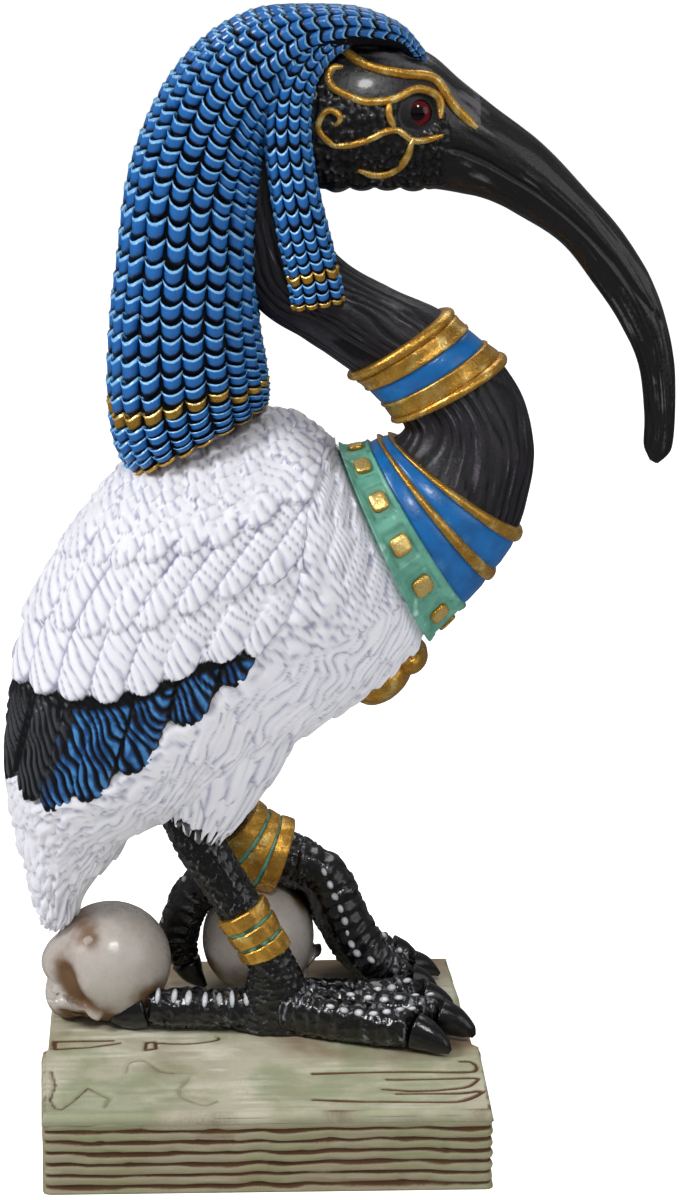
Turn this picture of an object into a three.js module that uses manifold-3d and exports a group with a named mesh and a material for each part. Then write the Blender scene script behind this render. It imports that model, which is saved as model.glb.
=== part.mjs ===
// A cast figurine of a sacred ibis with a bead wig, standing on a stack of papyrus sheets
// and gripping a skull. Millimetres, Z up. The origin is at the middle of the plinth's underside,
// +X runs towards the beak and -Y is the side that faces the viewer.
import * as THREE from 'three';
import { mergeVertices } from 'three/addons/utils/BufferGeometryUtils.js';
import Module from 'manifold-3d';

const wasm = await Module();
wasm.setup();

// Driving sizes of the plinth
const plinthWidth = 94.4;
const plinthDepth = 80;
const plinthHeight = 18.2;
const plinthSkew = 4.2; // the front edge lies this much further right than the back edge
const plinthStep = 1.3; // the front of the stack is wider than its back by this on each side
const plinthStepAt = 31; // distance of that step from the front edge
const sheetGrooves = 7;
const firstGroove = 1.35; // height of the lowest groove's middle
const groovePitch = 2.5;
const grooveDepth = 0.9;
const grooveHalf = 0.5;
const plinthFoot = 0.4; // bevel along the underside
const plinthCorner = 1.6;
const plinthEdge = 1.1;

// Driving sizes of the bird and the skulls
const birdHeight = 222.4; // from the soles to the top of the wig
const birdSetBack = 9; // the bird's middle plane, behind the middle of the plinth
const skullRadius = 13.6; // half the length of a cranium
const skullSunk = 0.93; // height of a cranium's middle above the plinth, as a share of that radius
const pieceGap = 0.3; // between two pieces that touch

// Driving sizes of the carving
const strandCount = 15; // strands around the rear fall of the wig
const strandDepth = 1.1;
const lappetStrands = 6; // strands around one front lappet
const lappetDepth = 0.7;
const beadRowRise = 0.9; // gilt bead rows, above the blue strands
const rowEdge = 0.006; // the slope at a row's edge, as a share of the length of its form
const ringRise = 1.5; // the rims of the collars, above the neck
const collarRise = 0.8; // the enamelled band at the foot of the broad collar
const ankletRise = 0.9;
const featherCount = 9; // feathers in each tier of a wing
const featherRise = 1.3; // a feather's tip, above the body
const featherSink = 1.6; // a feather's underside, below the body's surface
const featherNotch = 2.2; // from a feather's tip up to where it meets the next one
const goldLine = 0.75; // half the width of the raised lines on the face
const eyeRadius = 3.1;

// The bird is drawn at this height over soles at this level; both only fix the scale of the drawing
const drawnHeight = 222.4;
const drawnSole = 18.5;
const scale = birdHeight / drawnHeight;
const soleLevel = plinthHeight + pieceGap;

function place(x, offset, z) {
  return new THREE.Vector3(
    x * scale,
    birdSetBack + offset * scale,
    soleLevel + (z - drawnSole) * scale,
  );
}

const weldDistance = 0.001;
const searchSteps = 300; // places tried along a form when a point is laid on its skin
const searchNudge = 0.004; // how far along the form the slope is read
const fineCount = 96; // points around a ring before its strands are set out
const buried = 0.4; // how far a skin's border is sunk into the form it lies on

// Solids from geometry
function solidFrom(positions, triangles) {
  let volume = 0;
  const corner = [new THREE.Vector3(), new THREE.Vector3(), new THREE.Vector3()];
  for (let i = 0; i < triangles.length; i += 3) {
    for (let k = 0; k < 3; k++) {
      corner[k].fromArray(positions, 3 * triangles[i + k]);
    }
    volume += corner[0].dot(corner[1].cross(corner[2]));
  }
  if (volume < 0) {
    for (let i = 0; i < triangles.length; i += 3) {
      [triangles[i], triangles[i + 1]] = [triangles[i + 1], triangles[i]];
    }
  }
  const mesh = new wasm.Mesh({
    numProp: 3,
    vertProperties: new Float32Array(positions),
    triVerts: new Uint32Array(triangles),
  });
  return new wasm.Manifold(mesh);
}

function solidOf(geometry) {
  const bare = geometry.clone();
  bare.deleteAttribute('normal');
  bare.deleteAttribute('uv');
  const merged = mergeVertices(bare, weldDistance);
  return solidFrom(Array.from(merged.attributes.position.array), Array.from(merged.index.array));
}

// A closed skin over rings of points that all have the same count, with flat ends
function skin(rings) {
  const sides = rings[0].length;
  const positions = rings.flat().flatMap((point) => point.toArray());
  const triangles = [];
  for (let r = 0; r + 1 < rings.length; r++) {
    for (let j = 0; j < sides; j++) {
      const a = r * sides + j;
      const b = r * sides + ((j + 1) % sides);
      triangles.push(a, b, b + sides, a, b + sides, a + sides);
    }
  }
  const last = (rings.length - 1) * sides;
  for (let j = 1; j + 1 < sides; j++) {
    triangles.push(0, j + 1, j);
    triangles.push(last, last + j, last + j + 1);
  }
  return solidFrom(positions, triangles);
}

// Overlapping forms can shut in a small hollow; only the outer skin is kept
function outerSkin(solid) {
  return solid.decompose().sort((a, b) => b.volume() - a.volume())[0];
}

function geometryOf(solid) {
  const result = solid.getMesh();
  const geometry = new THREE.BufferGeometry();
  geometry.setAttribute('position', new THREE.BufferAttribute(result.vertProperties, 3));
  geometry.setIndex(new THREE.BufferAttribute(result.triVerts, 1));
  return geometry;
}

function meshOf(name, solid, material) {
  const welded = solidOf(geometryOf(outerSkin(solid)));
  const geometry = geometryOf(outerSkin(welded));
  geometry.computeVertexNormals();
  const mesh = new THREE.Mesh(geometry, material);
  mesh.name = name;
  return mesh;
}

// A form drawn by its two edges in the side view. Each station is
// [edge A x, edge A z, edge B x, edge B z, half width], in drawn millimetres.
function drawnForm(stations, { offset = 0, squareness = 2 } = {}) {
  const edgeA = new THREE.SplineCurve(stations.map(([x, z]) => new THREE.Vector2(x, z)));
  const edgeB = new THREE.SplineCurve(stations.map(([, , x, z]) => new THREE.Vector2(x, z)));
  const half = new THREE.SplineCurve(stations.map((s) => new THREE.Vector2(s[4], 0)));
  const rounding = 2 / squareness;

  function point(t, angle, grow = 0) {
    const a = edgeA.getPoint(t);
    const b = edgeB.getPoint(t);
    const reach = a.clone().sub(b).multiplyScalar(0.5);
    const along = Math.sign(Math.cos(angle)) * Math.abs(Math.cos(angle)) ** rounding;
    const across = Math.sign(Math.sin(angle)) * Math.abs(Math.sin(angle)) ** rounding;
    const middle = a.add(b).multiplyScalar(0.5);
    middle.addScaledVector(reach, along * (1 + grow / reach.length()));
    return place(middle.x, offset - across * (half.getPoint(t).x + grow), middle.y);
  }

  function ring(t, sides, grow = 0) {
    return Array.from({ length: sides }, (_, j) => point(t, (2 * Math.PI * j) / sides, grow));
  }

  // the place on the skin that shows at x, z in the side view; side is 1 near, -1 far
  function onSkin(x, z, side, grow = 0) {
    let best = { miss: Infinity };
    for (let i = 0; i <= searchSteps; i++) {
      const t = i / searchSteps;
      const a = edgeA.getPoint(t);
      const b = edgeB.getPoint(t);
      const reach = a.clone().sub(b);
      const share = new THREE.Vector2(x, z).sub(b).dot(reach) / reach.lengthSq();
      const held = THREE.MathUtils.clamp(share, 0.02, 0.98);
      const miss = Math.hypot(b.x + held * reach.x - x, b.y + held * reach.y - z);
      if (miss < best.miss) {
        best = { miss, t, share: held };
      }
    }
    const along = 2 * best.share - 1;
    const angle = Math.acos(Math.sign(along) * Math.abs(along) ** (1 / rounding));
    const at = point(best.t, side * angle, grow);
    const next = Math.min(best.t + searchNudge, 1);
    const before = Math.max(best.t - searchNudge, 0);
    const lengthwise = point(next, side * angle, grow).sub(point(before, side * angle, grow));
    const crosswise = point(best.t, side * angle + 0.05, grow);
    crosswise.sub(point(best.t, side * angle - 0.05, grow));
    const normal = lengthwise.cross(crosswise).normalize();
    const outward = at.clone().sub(point(best.t, side * angle, -1));
    return { at, normal: normal.dot(outward) < 0 ? normal.negate() : normal };
  }

  return { ring, point, onSkin };
}

// A limb along a path. Each station is [x, offset, z, half across, half deep].
function limb(stations, { mirror = 1 } = {}) {
  const path = new THREE.CatmullRomCurve3(stations.map(([x, y, z]) => place(x, mirror * y, z)));
  const size = new THREE.SplineCurve(stations.map((s) => new THREE.Vector2(s[3], s[4])));

  function ring(t, sides, grow = 0) {
    const centre = path.getPoint(t);
    const forward = path.getTangent(t);
    const across = new THREE.Vector3(0, 1, 0).addScaledVector(forward, -forward.y).normalize();
    const deep = new THREE.Vector3().crossVectors(forward, across);
    const { x: halfAcross, y: halfDeep } = size.getPoint(t);
    return Array.from({ length: sides }, (_, j) => {
      const angle = (2 * Math.PI * (j + 0.5)) / sides;
      return centre
        .clone()
        .addScaledVector(across, Math.cos(angle) * (halfAcross * scale + grow))
        .addScaledVector(deep, Math.sin(angle) * (halfDeep * scale + grow));
    });
  }

  return { ring };
}

// The skin of a whole form. Each profile is a list of [place along the form, rise], and between its
// first and last places the skin stands proud by those rises.
function solidForm(form, steps, sides, profiles = []) {
  const knots = profiles.flat();
  const room = 0.3 / steps;
  for (let i = 0; i <= steps; i++) {
    const t = i / steps;
    const taken = profiles.some((profile) => t > profile[0][0] - room && t < profile.at(-1)[0] + room);
    if (!taken) {
      knots.push([t, 0]);
    }
  }
  knots.sort(([one], [other]) => one - other);
  return skin(knots.map(([t, rise]) => form.ring(t, sides, rise)));
}

// The trunk runs from inside the head down the neck, through the breast and body to the tail's tip.
// Edge A is the throat, breast and belly, edge B the nape and back.
const trunk = drawnForm([
  [17, 216, -6, 214, 8],
  [13, 203, -7, 200, 8.2],
  [14.5, 194, -5, 188, 8.5],
  [19.5, 188, 1.3, 178.2, 9],
  [29, 182.6, 10.4, 172.2, 9.4],
  [39.5, 177.8, 20.6, 165.2, 9.8],
  [46, 172.2, 26.2, 160.4, 10.3],
  [51.8, 167.5, 30.6, 155.2, 10.8],
  [57.2, 159.2, 32, 153, 11.6],
  [59.7, 148, 31.4, 151.8, 12.6],
  [58.3, 137.5, 30.4, 151, 13.8],
  [56, 130.2, 29.6, 150.6, 15],
  [50.2, 121.4, 27, 150, 17],
  [44.4, 114.8, 24.5, 148.8, 18.5],
  [37.4, 107.8, 18.6, 148.2, 21],
  [31.6, 101.4, 12.4, 153.4, 23.4],
  [25.2, 95, 4.5, 157.2, 25],
  [13.4, 87.8, -13, 153, 27.5],
  [4, 81, -28.8, 144.4, 28.5],
  [-4, 75, -42.4, 126.4, 28],
  [-12, 70, -51.2, 108, 26],
  [-20, 66.5, -54.6, 92, 22],
  [-28, 62.5, -55.8, 78.6, 17],
  [-31.5, 57.5, -53.4, 63, 11.5],
  [-38.8, 48.5, -50.6, 49, 7],
  [-41.5, 42.5, -48.5, 42, 4.5],
  [-45.8, 39.4, -46.8, 39.6, 1.5],
]);
const trunkStationCount = 26;

// The head and beak: edge A is the brow and the beak's outer curve, edge B the throat and inner curve
const head = drawnForm([
  [5, 228, 5, 206, 9],
  [13, 232, 13, 203.4, 11],
  [21, 233.6, 21.5, 203.6, 11.8],
  [29, 233, 29.5, 203.6, 11],
  [36.5, 230.6, 36.5, 203.3, 9],
  [43, 225.3, 42.5, 202.4, 7.2],
  [50, 219.9, 49, 200.8, 6],
  [59.8, 212.6, 56.5, 197.2, 5],
  [70, 202.2, 64.5, 191.9, 4.4],
  [77.9, 193.3, 71, 184, 4],
  [84.2, 183.1, 77, 175.4, 3.6],
  [88.3, 170.6, 81.4, 166.3, 3.2],
  [90, 157, 83, 156, 2.8],
  [89.2, 148.3, 83.2, 149.2, 2.1],
  [86.3, 144.9, 84.6, 145.6, 0.9],
]);

// The wig's crown and rear fall, from the forehead over the crown and down to the slanting hem
const wig = drawnForm([
  [38, 227.6, 33, 226.4, 4],
  [35.4, 232.4, 31.5, 230, 7],
  [30, 237.4, 29, 231.8, 9],
  [20, 240.6, 20.5, 232, 13],
  [9, 241, 13.5, 229, 15.3],
  [-0.3, 239, 9, 223, 16.6],
  [-8.5, 234.5, 5, 217, 17.4],
  [-15.6, 227.3, 3, 211, 17.8],
  [-21.2, 217.7, 2, 205, 17.8],
  [-25.4, 205.8, 1.2, 198, 17.5],
  [-27.8, 190, 1, 187, 17.2],
  [-29.7, 176, 1, 176, 17],
  [-30.4, 160.5, 2.2, 168, 17],
  [-29, 150, 2.8, 162.5, 17],
  [-25.9, 144.1, 2.6, 159.4, 17],
], { squareness: 2.5 });

// A ring of the form with ridges and grooves at even distances around it
function strandRing(form, t, strands, depth, grow = 0) {
  const fine = form.ring(t, fineCount, grow);
  const reach = [0];
  fine.forEach((point, j) => reach.push(reach[j] + point.distanceTo(fine[(j + 1) % fine.length])));
  const middle = fine.reduce((sum, point) => sum.add(point), new THREE.Vector3());
  middle.divideScalar(fine.length);
  const points = [];
  for (let k = 0; k < 2 * strands; k++) {
    const wanted = (reach[fine.length] * k) / (2 * strands);
    const j = reach.findIndex((length) => length > wanted) - 1;
    const share = (wanted - reach[j]) / (reach[j + 1] - reach[j]);
    const point = fine[j].clone().lerp(fine[(j + 1) % fine.length], share);
    if (k % 2) {
      point.addScaledVector(middle.clone().sub(point).normalize(), depth);
    }
    points.push(point);
  }
  return points;
}

// A hanging mass of bead strands, with its gilt bead rows standing proud
function strandedSolid(form, steps, strands, depth, rows, rowRise) {
  const stranded = { ring: (t, sides, rise) => strandRing(form, t, strands, depth, rise) };
  const profiles = rows.map(([from, to]) => [
    [from, 0],
    [from + rowEdge, rowRise],
    [to - rowEdge, rowRise],
    [to, 0],
  ]);
  return solidForm(stranded, steps, 2 * strands, profiles);
}

// The gilt rows lie near the hem and at it, as shares of the way along the wig
function wigSolid() {
  return strandedSolid(wig, 10, strandCount, strandDepth, [[0.89, 0.925], [0.972, 1]], beadRowRise);
}

// The front lappet that hangs from the temple over the side of the neck
function lappetSolid(side) {
  const lappet = limb([
    [9, 11, 229, 3, 3.6],
    [8.6, 12.4, 216, 3.6, 4],
    [9.2, 12, 205, 3.2, 4.6],
    [11, 11.5, 193, 3, 5],
    [12.6, 11.2, 186, 3, 5.2],
    [13.6, 11.2, 180.5, 3, 5.4],
  ], { mirror: -side });
  const rows = [[0.84, 0.9], [0.95, 1]];
  return strandedSolid(lappet, 5, lappetStrands, lappetDepth, rows, 0.7 * beadRowRise);
}

// The trunk with its collars: two rims and the enamel between them around the upper neck, and two
// rings and the tiled border of the broad collar
function trunkSolid() {
  const profiles = [
    [
      [5, 0], [5.12, ringRise], [5.42, ringRise], [5.54, collarRise],
      [6.5, collarRise], [6.6, ringRise], [7.02, ringRise], [7.14, 0],
    ],
    [[10.8, 0], [10.95, ringRise], [11.15, 0]],
    [[11.8, 0], [11.95, ringRise], [12.15, 0]],
    [[12.9, 0], [13, collarRise], [13.95, collarRise], [14.05, 0]],
  ];
  const placed = profiles.map((knots) => knots.map(([at, rise]) => [at / trunkStationCount, rise]));
  return solidForm(trunk, 21, 14, placed);
}

// One raised line on the face, laid over the skin of the head
function goldLineSolid(points, side) {
  const flat = new THREE.SplineCurve(points.map(([x, z]) => new THREE.Vector2(x, z)));
  const laid = flat.getSpacedPoints(2 * points.length).map(({ x, y }) => {
    return head.onSkin(x, y, side, 0.1).at;
  });
  const path = new THREE.CatmullRomCurve3(laid);
  const corners = [[goldLine, 0], [-0.5 * goldLine, goldLine], [-0.5 * goldLine, -goldLine]];
  return solidOf(new THREE.ExtrudeGeometry(
    new THREE.Shape(corners.map(([x, y]) => new THREE.Vector2(x * scale, y * scale))),
    { extrudePath: path, steps: Math.round(1.1 * points.length), bevelEnabled: false },
  ));
}

const faceLines = {
  brow: [[17.6, 232.2], [23.2, 228.3], [30.8, 226.5], [37.4, 225.5], [41.4, 220.1], [46.3, 215.6]],
  upperLid: [
    [18.9, 227.8], [16.2, 227.6], [16.4, 224.1], [22.7, 221.1], [28.8, 221.3], [33.8, 223.6],
    [38.4, 221.9], [39, 217.6],
  ],
  rearOfEye: [[28.3, 221.3], [28.3, 218.4], [29.5, 215.2]],
  spiral: [
    [17.1, 216.1], [18.7, 217.6], [15.6, 219.4], [13.7, 215.6], [17.1, 212.2], [22.7, 212.8],
    [29.5, 215.4], [33.3, 213], [39.6, 214.2],
  ],
  drop: [[33.3, 213.4], [31.3, 208.5], [26.7, 206.1], [21.9, 207.2]],
};

function faceSolids(side) {
  const eye = new THREE.SphereGeometry(eyeRadius * scale, 8, 5);
  const seat = head.onSkin(34, 218.6, side, -0.45 * eyeRadius).at;
  eye.translate(seat.x, seat.y, seat.z);
  const lines = Object.values(faceLines).map((points) => goldLineSolid(points, side));
  return [solidOf(eye), ...lines];
}

// The lines that the feather tips of each tier follow, from the tail side forwards, with the rearmost
// first; the first line is where the wing's skin rises out of the back
const wingTop = [[-27, 144], [-10, 150], [12, 151]];
const featherTiers = [
  [[-36, 131], [-14, 138], [11, 142]],
  [[-43, 120], [-30, 122.9], [-15, 126], [8, 133]],
  [[-49.4, 109], [-32.5, 107.5], [-14, 112], [6, 119]],
  [[-52.6, 97], [-36.5, 91.6], [-20, 95.6], [0, 103.4]],
  [[-53.4, 76], [-47, 67.5], [-35, 70], [-24, 78], [-9, 91], [-1, 99.5]],
];

// A wing lies on the trunk as one skin of overlapping tiers. Each feather stands highest along its
// middle, and the feathers of one tier lie over the valleys of the next.
function wingSolid(side) {
  const lines = [wingTop, ...featherTiers].map((line) => {
    return new THREE.SplineCurve(line.map(([x, z]) => new THREE.Vector2(x, z)));
  });
  const lift = ({ at, normal }, rise) => at.clone().addScaledVector(normal, rise * scale);
  const rings = [];
  for (let k = 0; k <= 2 * featherCount; k++) {
    const along = lines.map((line) => line.getPointAt(k / (2 * featherCount)));
    const atEnd = k === 0 || k === 2 * featherCount;
    const top = trunk.onSkin(along[0].x, along[0].y, side);
    const ring = [lift(top, -buried)];
    const inner = [lift(top, -2 * featherSink)];
    for (let tier = 1; tier < along.length; tier++) {
      const valley = atEnd || (k + tier) % 2 === 0;
      const notch = along[tier - 1].clone().sub(along[tier]).setLength(valley ? featherNotch : 0);
      const tip = trunk.onSkin(along[tier].x + notch.x, along[tier].y + notch.y, side);
      ring.push(lift(tip, valley ? 0.4 * featherRise : featherRise));
      if (tier + 1 < along.length) {
        ring.push(lift(tip, valley ? -0.1 : 0.1));
      }
      if (tier % 2) {
        inner.push(lift(tip, -2 * featherSink));
      }
    }
    rings.push([...ring, ...inner.reverse()]);
  }
  return skin(rings);
}

// A thigh of soft feathers, narrowing to the bare leg
function thighSolid(offset, forward) {
  return solidForm(limb([
    [-6 + forward, offset - 0.25 * offset, 96, 10, 17],
    [-8 + forward, offset - 0.1 * offset, 84, 10, 14],
    [-10 + forward, offset, 75, 8.5, 10],
    [-12 + forward, offset, 68, 6.4, 6.6],
    [-13 + forward, offset, 64, 4.6, 4.8],
  ]), 5, 10);
}

// A toe, ended by a claw
function toeSolids(stations, claw) {
  return [
    solidForm(limb(stations), stations.length, 6),
    solidForm(limb([stations.at(-1), ...claw]), 3, 6),
  ];
}

// The three bands of an anklet, between two places along the leg
function anklet(from, to) {
  const band = (to - from) / 3;
  const edge = 0.1 * band;
  const knots = [[from, 0]];
  for (let k = 0; k < 3; k++) {
    knots.push([from + k * band + edge, ankletRise], [from + (k + 1) * band - edge, ankletRise]);
    knots.push([from + (k + 1) * band, k === 2 ? 0 : 0.3 * ankletRise]);
  }
  return [knots];
}

function nearLegSolids() {
  const leg = limb([
    [-17, -6, 76, 5.2, 7],
    [-13.6, -6.4, 64, 4.8, 5.6],
    [-7.6, -7, 53, 4.4, 5],
    [-2.8, -7.3, 44.5, 4.3, 4.8],
    [1.6, -7.5, 36.5, 4.3, 4.7],
    [3.6, -7.5, 28, 5, 6.8],
    [3.2, -7.5, 17, 5.2, 9.6],
  ]);
  return [
    solidForm(leg, 9, 10, anklet(0.45, 0.68)),
    ...toeSolids(
      [
        [4, -7.5, 23, 4, 4.6], [-5, -7.5, 22.6, 3.8, 4.2],
        [-15, -7.5, 22.8, 3.7, 4.3], [-24.5, -7.3, 22.8, 3.4, 4.2],
      ],
      [
        [-28, -7.2, 21.6, 2.4, 3], [-32.5, -7, 19.4, 0.5, 0.6],
      ],
    ),
    ...toeSolids(
      [
        [6, -9, 23, 4, 5], [14, -12.5, 22.8, 3.9, 4.8], [24, -16, 22.6, 3.8, 4.4],
        [33.5, -19.5, 22.9, 3.6, 4.4],
      ],
      [
        [36.5, -21, 21.8, 2.2, 2.8], [41, -23.5, 19.2, 0.5, 0.6],
      ],
    ),
    ...toeSolids(
      [
        [6, -7.5, 23.4, 4, 5.2], [16, -8.6, 23, 3.9, 5],
        [28, -10.8, 22.8, 3.8, 4.4], [39.5, -13.5, 23.2, 3.6, 4.4],
      ],
      [
        [42.5, -14.4, 22.3, 2.2, 2.8], [47.2, -16, 19.2, 0.5, 0.6],
      ],
    ),
    ...toeSolids(
      [
        [6, -6, 23.4, 4, 5.2], [16, -4, 22.8, 3.8, 4.6],
        [26, -2.4, 22.6, 3.7, 4.2], [36, -1.5, 22.8, 3.4, 4],
      ],
      [
        [39, -1.4, 21.6, 2.1, 2.6], [43.4, -1.4, 19.2, 0.5, 0.6],
      ],
    ),
  ];
}

function farLegSolids() {
  const leg = limb([
    [-15, 12, 76, 5.4, 6],
    [-10.6, 12.4, 64.5, 5.2, 5.6],
    [-5.6, 12.8, 57.6, 5.6, 6],
    [0.4, 13, 53, 5.9, 6.2],
    [6.6, 13, 50.6, 5.9, 6],
    [12, 13, 48.2, 6.4, 5.6],
  ]);
  return [
    solidForm(leg, 9, 10, anklet(0.41, 0.72)),
    ...toeSolids(
      [
        [7, 12, 50, 4.6, 5.2], [14.2, 10.8, 47.2, 4.6, 5.4],
        [18, 10, 39.4, 4.6, 5.6], [22, 9.2, 31.2, 4.6, 5.6],
        [28, 8.8, 24.8, 4.2, 4.4], [34.6, 8.6, 22.4, 3.5, 3.7],
      ],
      [
        [37.6, 8.6, 21.6, 2.2, 2.6], [41.2, 8.6, 19, 0.5, 0.6],
      ],
    ),
    ...toeSolids(
      [
        [6, 14, 49.4, 4.6, 4.6], [13.4, 16, 44.8, 4.4, 4.8],
        [17.6, 17, 36.4, 4.4, 4.6], [21.6, 17.6, 28.6, 4.2, 4.4],
        [28, 18, 23.2, 4, 3.8], [35.4, 18.2, 21.8, 3.4, 3.5],
      ],
      [
        [38.4, 18.4, 21.2, 2.2, 2.5], [42, 18.6, 19, 0.5, 0.6],
      ],
    ),
    ...toeSolids(
      [
        [5, 15, 48.6, 4.4, 4.6], [11.4, 20, 43.4, 4.2, 4.6],
        [15.4, 23.6, 35, 4, 4.4], [19.6, 25.6, 27.4, 4, 4.2],
        [25.4, 27, 23, 3.8, 3.8], [31.2, 27.6, 21.8, 3.3, 3.4],
      ],
      [
        [34.2, 28, 20.9, 2.1, 2.4], [37.6, 28.4, 19, 0.5, 0.6],
      ],
    ),
    ...toeSolids(
      [
        [3, 13.4, 50, 4.6, 4.8], [-8, 13.4, 47, 4.5, 4.9],
        [-15.6, 13.4, 40.4, 4.4, 4.6], [-18.4, 13.4, 32, 4.2, 4.3],
        [-17.2, 13.4, 25.5, 3.5, 3.6],
      ],
      [
        [-15.4, 13.4, 22, 2.3, 2.6], [-12.6, 13.4, 18.9, 0.5, 0.6],
      ],
    ),
  ];
}

// The pendant on the breast, a large and a small lobe
function pendantSolids() {
  return [[27.6, 98.2, 7.4, 4.6, 7.5], [34, 104, 3.6, 3.4, 5]].map(([x, z, long, deep, wide]) => {
    const lobe = new THREE.SphereGeometry(1, 8, 6);
    lobe.scale(long * scale, wide * scale, deep * scale);
    lobe.rotateY(-0.72);
    const seat = place(x, 0, z);
    lobe.translate(seat.x, seat.y, seat.z);
    return solidOf(lobe);
  });
}

// A skull without its lower jaw. It faces -X before it is turned, and grow swells it for clearance.
// Its forms are shares of the cranium's radius.
function skullSolid(x, offset, turn, grow = 0) {
  const ball = (middle, radii, { tilt = 0, around = 8, high = 5 } = {}) => {
    const geometry = new THREE.SphereGeometry(1, around, high);
    geometry.scale(...radii.map((radius) => radius * skullRadius + grow));
    geometry.rotateY(THREE.MathUtils.degToRad(tilt));
    geometry.translate(...middle.map((share) => share * skullRadius));
    return solidOf(geometry);
  };
  let skull = ball([0, 0, 0], [1, 0.94, 1], { around: 12, high: 8 })
    .add(ball([-0.52, 0, 0.02], [0.62, 0.68, 0.52]))
    .add(ball([-0.68, 0, -0.52], [0.42, 0.5, 0.46]));
  for (const side of [-1, 1]) {
    skull = skull.add(ball([-0.68, 0.62 * side, -0.58], [0.4, 0.14, 0.13], { tilt: 27 }));
    skull = skull.subtract(ball([-1.12, 0.33 * side, -0.28], [0.22, 0.21, 0.2]));
    skull = skull.subtract(ball([-0.66, 0.86 * side, -0.26], [0.46, 0.22, 0.17], { tilt: 54 }));
  }
  const level = soleLevel + skullSunk * skullRadius;
  return skull.rotate([0, 0, turn]).translate([x * scale, birdSetBack + offset * scale, level]);
}

function tailSkull(grow = 0) {
  return skullSolid(-33.4, 0.5, 0, grow);
}

function clawSkull(grow = 0) {
  return skullSolid(-0.2, 14, 240, grow);
}

const groundSize = 4 * (plinthWidth + plinthDepth);

// Everything of a piece that would reach below a level is cut away flat
function cutFlat(solid, level) {
  const ground = new THREE.BoxGeometry(groundSize, groundSize, groundSize);
  ground.translate(0, 0, level - groundSize / 2);
  return solid.subtract(solidOf(ground));
}

function ibisSolid() {
  const pieces = [
    trunkSolid(),
    solidForm(head, 17, 10),
    wigSolid(),
    ...pendantSolids(),
    thighSolid(-8, 0),
    thighSolid(11, 0),
    ...nearLegSolids(),
    ...farLegSolids(),
  ];
  for (const side of [1, -1]) {
    pieces.push(lappetSolid(side), ...faceSolids(side), wingSolid(side));
  }
  const whole = cutFlat(wasm.Manifold.union(pieces), soleLevel);
  return whole.subtract(tailSkull(pieceGap)).subtract(clawSkull(pieceGap));
}

// The plinth's outline at one level, drawn in by inset
function plinthOutline(inset, z) {
  const half = plinthWidth / 2;
  const deep = plinthDepth / 2;
  const stepY = plinthStepAt - deep;
  const lean = (y) => (-plinthSkew * y) / plinthDepth;
  const right = [
    [half - plinthCorner, -deep],
    [half, -deep + plinthCorner],
    [half + plinthStep, stepY],
    [half, stepY + plinthStep],
    [half, deep - plinthCorner],
    [half - plinthCorner, deep],
  ];
  const left = right.map(([x, y]) => [-x, y]).reverse();
  return [...right, ...left].map(([x, y]) => new THREE.Vector3(
    (x * (half - inset)) / half + lean(y),
    (y * (deep - inset)) / deep,
    z,
  ));
}

function plinthSolid() {
  const rings = [plinthOutline(plinthFoot, 0), plinthOutline(0, plinthFoot)];
  for (let k = 0; k < sheetGrooves; k++) {
    const level = firstGroove + k * groovePitch;
    rings.push(plinthOutline(0, level - grooveHalf));
    rings.push(plinthOutline(grooveDepth, level));
    rings.push(plinthOutline(0, level + grooveHalf));
  }
  rings.push(plinthOutline(0.3 * plinthEdge, plinthHeight - 0.3 * plinthEdge));
  rings.push(plinthOutline(plinthEdge, plinthHeight));
  return skin(rings);
}

const resin = new THREE.MeshStandardMaterial({ color: 0xd9d9e4, roughness: 0.6, metalness: 0 });
const papyrus = new THREE.MeshStandardMaterial({ color: 0xb9bea0, roughness: 0.75, metalness: 0 });
const bone = new THREE.MeshStandardMaterial({ color: 0xcdc3b9, roughness: 0.5, metalness: 0 });

const figure = new THREE.Group();
figure.add(meshOf('ibis_figure', ibisSolid(), resin));
figure.add(meshOf('papyrus_plinth', plinthSolid(), papyrus));
figure.add(meshOf('tail_skull', cutFlat(tailSkull(), soleLevel), bone));
figure.add(meshOf('claw_skull', cutFlat(clawSkull(), soleLevel), bone));

export default figure;
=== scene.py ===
import math

import bpy
import numpy as np
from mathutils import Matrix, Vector


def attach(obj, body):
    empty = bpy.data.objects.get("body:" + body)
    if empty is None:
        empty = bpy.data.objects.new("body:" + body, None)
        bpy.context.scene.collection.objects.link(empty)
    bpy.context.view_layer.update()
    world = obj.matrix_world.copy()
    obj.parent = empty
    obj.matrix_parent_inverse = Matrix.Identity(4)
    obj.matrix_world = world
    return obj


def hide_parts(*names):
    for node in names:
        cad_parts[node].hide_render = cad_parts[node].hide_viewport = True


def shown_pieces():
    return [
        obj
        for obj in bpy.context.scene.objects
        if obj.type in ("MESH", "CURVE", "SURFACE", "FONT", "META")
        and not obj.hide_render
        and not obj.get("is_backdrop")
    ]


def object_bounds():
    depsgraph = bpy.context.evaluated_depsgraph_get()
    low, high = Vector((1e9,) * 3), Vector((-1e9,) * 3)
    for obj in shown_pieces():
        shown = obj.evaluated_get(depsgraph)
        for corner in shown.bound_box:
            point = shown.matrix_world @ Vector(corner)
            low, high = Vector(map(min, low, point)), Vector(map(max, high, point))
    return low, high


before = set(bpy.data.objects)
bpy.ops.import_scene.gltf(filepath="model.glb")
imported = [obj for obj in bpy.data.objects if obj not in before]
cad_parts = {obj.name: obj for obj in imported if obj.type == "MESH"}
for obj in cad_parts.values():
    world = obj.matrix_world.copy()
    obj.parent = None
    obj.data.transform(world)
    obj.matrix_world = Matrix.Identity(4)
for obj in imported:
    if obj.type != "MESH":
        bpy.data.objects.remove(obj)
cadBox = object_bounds()
mm = 0.001
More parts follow.
